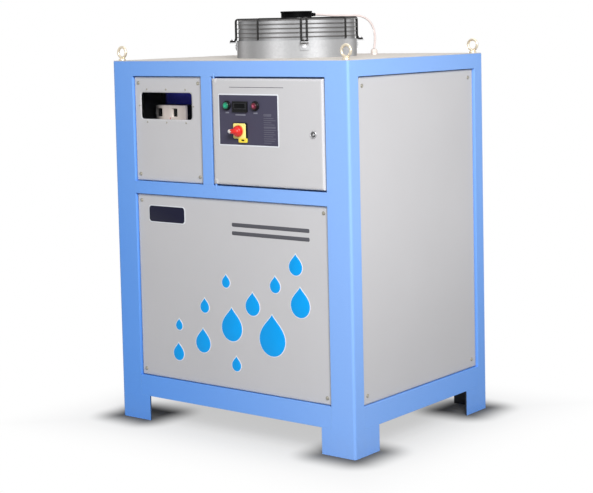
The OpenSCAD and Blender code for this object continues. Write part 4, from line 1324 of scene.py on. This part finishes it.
class CHILLER_OT_controller(bpy.types.Operator):
    """Builds the temperature controller with its frame, dark display, keys and housing"""

    bl_idname = "chiller.controller"
    bl_label = "Temperature controller"

    def execute(self, context):
        low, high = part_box("controller")
        middle = box_middle("controller")
        width, height = high.x - low.x, high.z - low.z
        place = upright((middle.x, FACE_Y, middle.z))
        shape = Shape("black_plastic", "dark_glass", "grey_key")
        self.add_front(shape, place, width, height, FACE_Y - low.y)
        self.add_housing(shape, turned(place, 180, "Y"), width, height, high.y - FACE_Y)
        add_piece("controller_case", shape, "door", "black_plastic", "controller")
        return {"FINISHED"}

    def add_front(self, shape, place, width, height, front):
        """Frame around a sunk face, which has the display and four keys."""
        floor = front - 0.0022
        inner = round_outline(width - 0.008, height - 0.008, 0.0012)
        shape.ledge(place, round_outline(width, height, 0.0025), inner, 0, front, 0.0005, 0.0007)
        shape.slab(place, inset_outline(inner, -0.0003), 0, floor + 0.0002, 0.0003)
        glass = shifted(place, 0, 0.0025, floor)
        # Painted reflection: the grey rim around the display.
        shape.ledge(glass, round_outline(0.046, 0.0175, 0.0015), round_outline(0.0435, 0.0150, 0.001),
                    0, 0.0010, 0, 0.0003, "grey_key")
        shape.slab(glass, round_outline(0.0440, 0.0155, 0.001), 0, 0.0006, 0.0002, "dark_glass")
        for key in range(4):
            spot = shifted(place, (key - 1.5) * 0.0105, -0.0096, floor)
            shape.slab(spot, round_outline(0.0062, 0.0030, 0.0012), 0, 0.0013, 0.0005)

    def add_housing(self, shape, rear, width, height, depth):
        """Housing behind the door, with a row of terminals on its back."""
        shape.slab(rear, round_outline(width - 0.006, height - 0.006, 0.0012), -0.0005, depth - 0.003, 0.0008)
        for row in range(8):
            terminal = shifted(rear, (3.5 - row) * 0.0058, 0, depth)
            shape.slab(terminal, round_outline(0.0048, 0.012, 0.0006), -0.0031, -0.0001, 0.0004, "grey_key")


class CHILLER_OT_switch(bpy.types.Operator):
    """Builds the main switch: plate with its padlock tab, contact block and red pointer handle"""

    bl_idname = "chiller.switch"
    bl_label = "Main switch"

    def execute(self, context):
        axis = box_middle("switch_handle")
        self.add_plate(axis)
        self.add_handle(axis)
        return {"FINISHED"}

    def add_plate(self, axis):
        low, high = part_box("switch_plate")
        width, height, thick = high.x - low.x, 2 * (high.z - axis.z), FACE_Y - low.y
        place = upright((axis.x, FACE_Y, axis.z))
        shape = Shape("black_plastic", "yellow_plastic", "bright_steel", "pale_yellow_plastic")
        shape.slab(place, round_outline(width, height, 0.005), 0, 0.0035, 0.0008)
        shape.slab(place, round_outline(width - 0.008, height - 0.004, 0.005), 0.003, thick, 0.0012,
                   "pale_yellow_plastic")
        self.add_tab(shape, place, 0.004 - height / 2, low.z - axis.z, thick)
        self.add_ring(shape, place, thick)
        self.add_block(shape, place, high.y - FACE_Y)
        add_piece("switch_escutcheon", shape, "door", "yellow_plastic", "switch_plate")

    def add_tab(self, shape, place, top, low, thick):
        """Padlock tab below the plate, with a slot that is closed at its back."""
        back = 0.0002
        tab = shifted(place, 0.012, (top + low) / 2)
        shape.ledge(tab, round_outline(0.0318, top - low, 0.003), round_outline(0.014, 0.0045, 0.002),
                    back, thick, back, 0.0008, "yellow_plastic")
        shape.slab(tab, round_outline(0.0145, 0.0050, 0.002), back, 0.0022, 0.0003)

    def add_ring(self, shape, place, thick):
        """Raised ring on the plate, around the handle."""
        bore_r, ring_r, edge, low, top = 0.0182, 0.0206, 0.0004, thick - 0.001, thick + 0.0012
        shape.lathe(place, ((bore_r, low), (ring_r, low), (ring_r, top - edge), (ring_r - edge, top),
                            (bore_r + edge, top), (bore_r, top - edge)), 64, "pale_yellow_plastic", join=True)

    def add_block(self, shape, place, depth):
        """Neck through the door, and the contact block behind it with its terminal screws."""
        neck_r, bore_r, neck_end = 0.0108, 0.0050, -0.022
        shape.lathe(place, ((neck_r, 0.001), (neck_r, neck_end), (bore_r, neck_end), (bore_r, 0.001)), 40,
                    join=True)
        rear = turned(place, 180, "Y")
        shape.slab(rear, round_outline(0.044, 0.044, 0.003), 0.021, 0.0385, 0.0008)
        shape.slab(rear, round_outline(0.043, 0.043, 0.003), 0.0380, depth, 0.0012)
        for side in (-1, 1):
            for row in (-1, 0, 1):
                head = shifted(rear, row * 0.013, side * 0.015, depth - 0.0011)
                shape.pan_head(head, 0.0056, 0.0010, 24, "bright_steel")

    def add_handle(self, axis):
        low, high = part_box("switch_handle")
        rest_y = FACE_Y - 0.008
        reach, top, shaft = (high.x - low.x) / 2, rest_y - low.y, rest_y - high.y
        place = upright((axis.x, rest_y, axis.z))
        shape = Shape("red_plastic", "white_plastic", "bright_steel")
        shape.lathe(place, ((0.0030, 0.0004), (0.0160, 0), (0.0170, 0.0008), (0.0170, 0.0066),
                            (0.0166, 0.0090), (0.0154, 0.0118), (0.0132, 0.0146), (0.0100, 0.0168),
                            (0.0060, 0.0182), (0.0004, 0.0188)), 64)
        self.add_grip(shape, place, reach, top)
        # Painted highlight along the crest.
        self.add_crest_highlight(shape, place, reach, top)
        shaft_r, edge = 0.0038, 0.0006
        shape.lathe(place, ((shaft_r, 0.001), (shaft_r, shaft + edge), (shaft_r - edge, shaft),
                            (0.0004, shaft)), 28, "bright_steel")
        add_piece("switch_knob", shape, "switch", "red_plastic", "switch_handle")

    def add_grip(self, shape, place, reach, top):
        """Red grip and its white tip, from cross-sections: share of the reach, half width, foot and crest."""
        grip = ((0.58, 0.0030, 0.010, 0.0110), (0.52, 0.0060, 0.009, 0.0165), (0.34, 0.0076, 0.008, 0.0215),
                (0.0, 0.0080, 0.007, top - 0.0015), (-0.30, 0.0079, 0.007, top),
                (-0.55, 0.0072, 0.007, top - 0.0004), (-0.59, 0.0070, 0.0074, top - 0.0005))
        tip = ((-0.58, 0.0070, 0.0075, top - 0.0006), (-0.72, 0.0065, 0.0080, top - 0.0011),
               (-0.86, 0.0061, 0.0084, top - 0.0018), (-0.94, 0.0054, 0.0094, top - 0.0027),
               (-0.985, 0.0040, 0.0112, top - 0.0043), (-1.0, 0.0018, 0.0136, top - 0.0068))
        for finish, sections in (("red_plastic", grip), ("white_plastic", tip)):
            shape.loft([self.grip_ring(place, share * reach, half_w, foot, crest)
                        for share, half_w, foot, crest in sections], finish)

    def grip_ring(self, place, x, half_w, foot, crest):
        """One cross-section of the grip: square at its foot and round at its crest."""
        round_h = half_w * 0.9
        shoulder = crest - round_h
        points = [(half_w, foot), (half_w, shoulder)]
        for step in range(1, 8):
            angle = math.pi * step / 8
            points.append((half_w * math.cos(angle), shoulder + round_h * math.sin(angle)))
        points += [(-half_w, shoulder), (-half_w, foot)]
        return [place @ Vector((x, across, height)) for across, height in points]

    def add_crest_highlight(self, shape, place, reach, top):
        """Painted highlight: a white line on the crest, from cross-sections: share of the reach, half width
        and crest.
        """
        crest_highlight = ((-0.30, 0.0006, top), (-0.42, 0.0022, top - 0.0001), (-0.55, 0.0030, top - 0.0003),
                (-0.66, 0.0034, top - 0.0008))
        shape.loft([self.crest_highlight_ring(place, share * reach, half_w, crest) for share, half_w, crest in crest_highlight],
                   "white_plastic")

    def crest_highlight_ring(self, place, x, half_w, crest):
        """One cross-section of the painted highlight's white line: flat below and slightly peaked."""
        points = ((half_w, -0.0018), (half_w, -0.0006), (0, 0.0001), (-half_w, -0.0006), (-half_w, -0.0018))
        return [place @ Vector((x, across, crest + rise)) for across, rise in points]


class CHILLER_OT_lock(bpy.types.Operator):
    """Fits the door lock: collar, keyed plug, threaded barrel, nut and turning cam"""

    bl_idname = "chiller.lock"
    bl_label = "Door lock"

    def execute(self, context):
        axis = box_middle("lock_collar")
        axis.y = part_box("control_door")[0].y
        self.add_collar(axis)
        self.add_cam(axis)
        return {"FINISHED"}

    def add_collar(self, axis):
        low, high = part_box("lock_collar")
        place = upright(axis)
        front, back, radius = axis.y - low.y, axis.y - high.y, (high.x - low.x) / 2
        well_r, barrel_in, edge = 0.0086, 0.0066, 0.0004
        shape = Shape("bright_steel", "black_plastic")
        shape.lathe(place, ((well_r, front - 0.0006), (well_r + edge, front), (radius - 0.0014, front),
                            (radius - edge, front - 0.0006), (radius, front - 0.0014), (radius, 0),
                            (well_r, -edge)), 64, join=True)
        shape.lathe(place, ((0.0062, -0.0042), (0.0087, -0.0042), (0.0087, front - 0.0010),
                            (0.0082, front - 0.0010), (0.0080, -0.0034), (0.0062, -0.0034)), 64,
                    "black_plastic", join=True)
        thread = thread_profile(crest=0.0089, root=0.0083, start=-edge, pitch=0.0015, count=10)
        barrel = [(barrel_in, -edge)] + [point for point in thread if point[1] > back + 0.002]
        barrel += [(0.0086, back + 0.001), (0.0080, back), (barrel_in, back)]
        shape.lathe(place, barrel, 48, join=True)
        shape.hex_nut(place, bore=0.0080, corner=0.0136, low=-0.0066, high=-0.0024)
        add_piece("lock_escutcheon", shape, "door", "bright_steel", "lock_collar")

    def add_cam(self, axis):
        low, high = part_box("lock_cam")
        place = upright(axis)
        plug = axis.y - max(low.y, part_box("lock_collar")[0].y) - 0.0012
        back, plug_r, half_t = axis.y - high.y, 0.0058, 0.0015
        shape = Shape("bright_steel", "black_plastic", "chrome")
        shape.lathe(place, ((plug_r, back + half_t), (plug_r, plug - 0.0030), (0.0054, plug - 0.0026),
                            (0.0043, plug - 0.0024), (0.0004, plug - 0.0024)), 40, "black_plastic")
        shape.lathe(place, ((0.0042, plug - 0.0025), (0.0042, plug - 0.0012), (0.0036, plug - 0.0004),
                            (0.0022, plug), (0.0004, plug)), 40, "chrome")
        key_slot = round_outline(0.0012, 0.0052, 0.0005, 3)
        shape.slab(place, key_slot, plug - 0.0015, plug + 0.0002, 0.00005, "black_plastic")
        lever_y, rise, width = high.y - half_t, high.z - axis.z, high.x - low.x
        lever = upright((axis.x, lever_y, axis.z + (rise - width / 2) / 2))
        shape.slab(lever, round_outline(width, rise + width / 2, width * 0.45), -half_t, half_t, 0.0004)
        bolt = upright((axis.x, lever_y + 0.0012, axis.z), 180)
        shape.hex_bolt(bolt, width=0.009, head=0.0030, washer=0.0125)
        add_piece("lock_lever", shape, "lock", "bright_steel", "lock_cam")


class CHILLER_OT_drops(bpy.types.Operator):
    """Prints the plain header plate, two stripes and a fall of water drops on the lower panel"""

    bl_idname = "chiller.drops"
    bl_label = "Lower panel print"

    # Places from the panel's lower left corner. A drop also has its width.
    plate_at = (0.125, 0.527)
    stripes_at = ((0.545, 0.512), (0.545, 0.486))
    drops = ((0.640, 0.400, 0.050), (0.560, 0.335, 0.040), (0.655, 0.285, 0.072), (0.470, 0.265, 0.056),
             (0.365, 0.330, 0.032), (0.385, 0.190, 0.082), (0.275, 0.245, 0.036), (0.545, 0.170, 0.100),
             (0.265, 0.130, 0.060), (0.165, 0.175, 0.028), (0.160, 0.085, 0.044), (0.400, 0.075, 0.036))

    def execute(self, context):
        film, margin = 0.0003, 0.005
        corner = upright(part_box("lower_front_panel")[0])
        shape = Shape("azure_print", "pale_print", "navy_print", "stripe_print")
        plate, plate_outline = shifted(corner, *self.plate_at), round_outline(0.150, 0.050, 0.010)
        shape.slab(plate, plate_outline, -film, 0.0012, 0.0004, "navy_print")
        shape.ledge(plate, round_outline(0.156, 0.056, 0.012), plate_outline, -film, 0.0008, -film, 0.0002,
                    "pale_print")
        stripe = round_outline(0.300, 0.012, 0.004)
        for at in self.stripes_at:
            shape.slab(shifted(corner, *at), stripe, -film, film, film * 0.5, "stripe_print")
        for x, z, wide in self.drops:
            place = shifted(corner, x, z)
            shape.slab(place, self.drop_outline(wide + margin), -film, film, film * 0.5, "pale_print")
            shape.slab(place, self.drop_outline(wide), -film, film * 1.6, film * 0.5)
        add_piece("panel_print", shape, "cabinet", "panel_grey")
        return {"FINISHED"}

    def drop_outline(self, width, steps=48):
        """Outline of a water drop that hangs with its point up."""
        points = []
        for angle in angles(steps):
            side, rise = math.sin(angle), -math.cos(angle)
            if rise > 0:
                side *= 1 - rise ** 2.2 * 0.92
                rise *= 1.55
            points.append(Vector((side, rise)) * width / 2)
        return points


class CHILLER_PT_panel(bpy.types.Panel):
    """Lists the steps that dress the chiller"""

    bl_idname = "CHILLER_PT_panel"
    bl_label = "Air Cooled Water Chiller"
    bl_space_type = "VIEW_3D"
    bl_region_type = "UI"
    bl_category = "Chiller"

    def draw(self, context):
        for step in STEPS:
            self.layout.operator(step.bl_idname, text=step.bl_label)
        scene = context.scene
        for group in (scene.chiller_stage, scene.chiller_paints, scene.chiller_fittings):
            box = self.layout.box()
            for key in group.bl_rna.properties.keys():
                if key not in ("rna_type", "name"):
                    box.prop(group, key)


SETTINGS = (ChillerStage, ChillerPaints, ChillerFittings)
STEPS = (CHILLER_OT_stage, CHILLER_OT_cable, CHILLER_OT_paint, CHILLER_OT_screws, CHILLER_OT_guard,
         CHILLER_OT_motor, CHILLER_OT_impeller, CHILLER_OT_gland, CHILLER_OT_eyes,
         CHILLER_OT_pressure_control, CHILLER_OT_print, CHILLER_OT_lamps, CHILLER_OT_controller,
         CHILLER_OT_switch, CHILLER_OT_lock, CHILLER_OT_drops)
CLASSES = SETTINGS + STEPS + (CHILLER_PT_panel,)


def register():
    for item in CLASSES:
        bpy.utils.register_class(item)
    bpy.types.Scene.chiller_stage = PointerProperty(type=ChillerStage)
    bpy.types.Scene.chiller_paints = PointerProperty(type=ChillerPaints)
    bpy.types.Scene.chiller_fittings = PointerProperty(type=ChillerFittings)


def unregister():
    del bpy.types.Scene.chiller_fittings
    del bpy.types.Scene.chiller_paints
    del bpy.types.Scene.chiller_stage
    for item in reversed(CLASSES):
        bpy.utils.unregister_class(item)


def main():
    register()
    for step in STEPS:
        group, name = step.bl_idname.split(".")
        getattr(getattr(bpy.ops, group), name)()


if __name__ == "__main__":
    main()
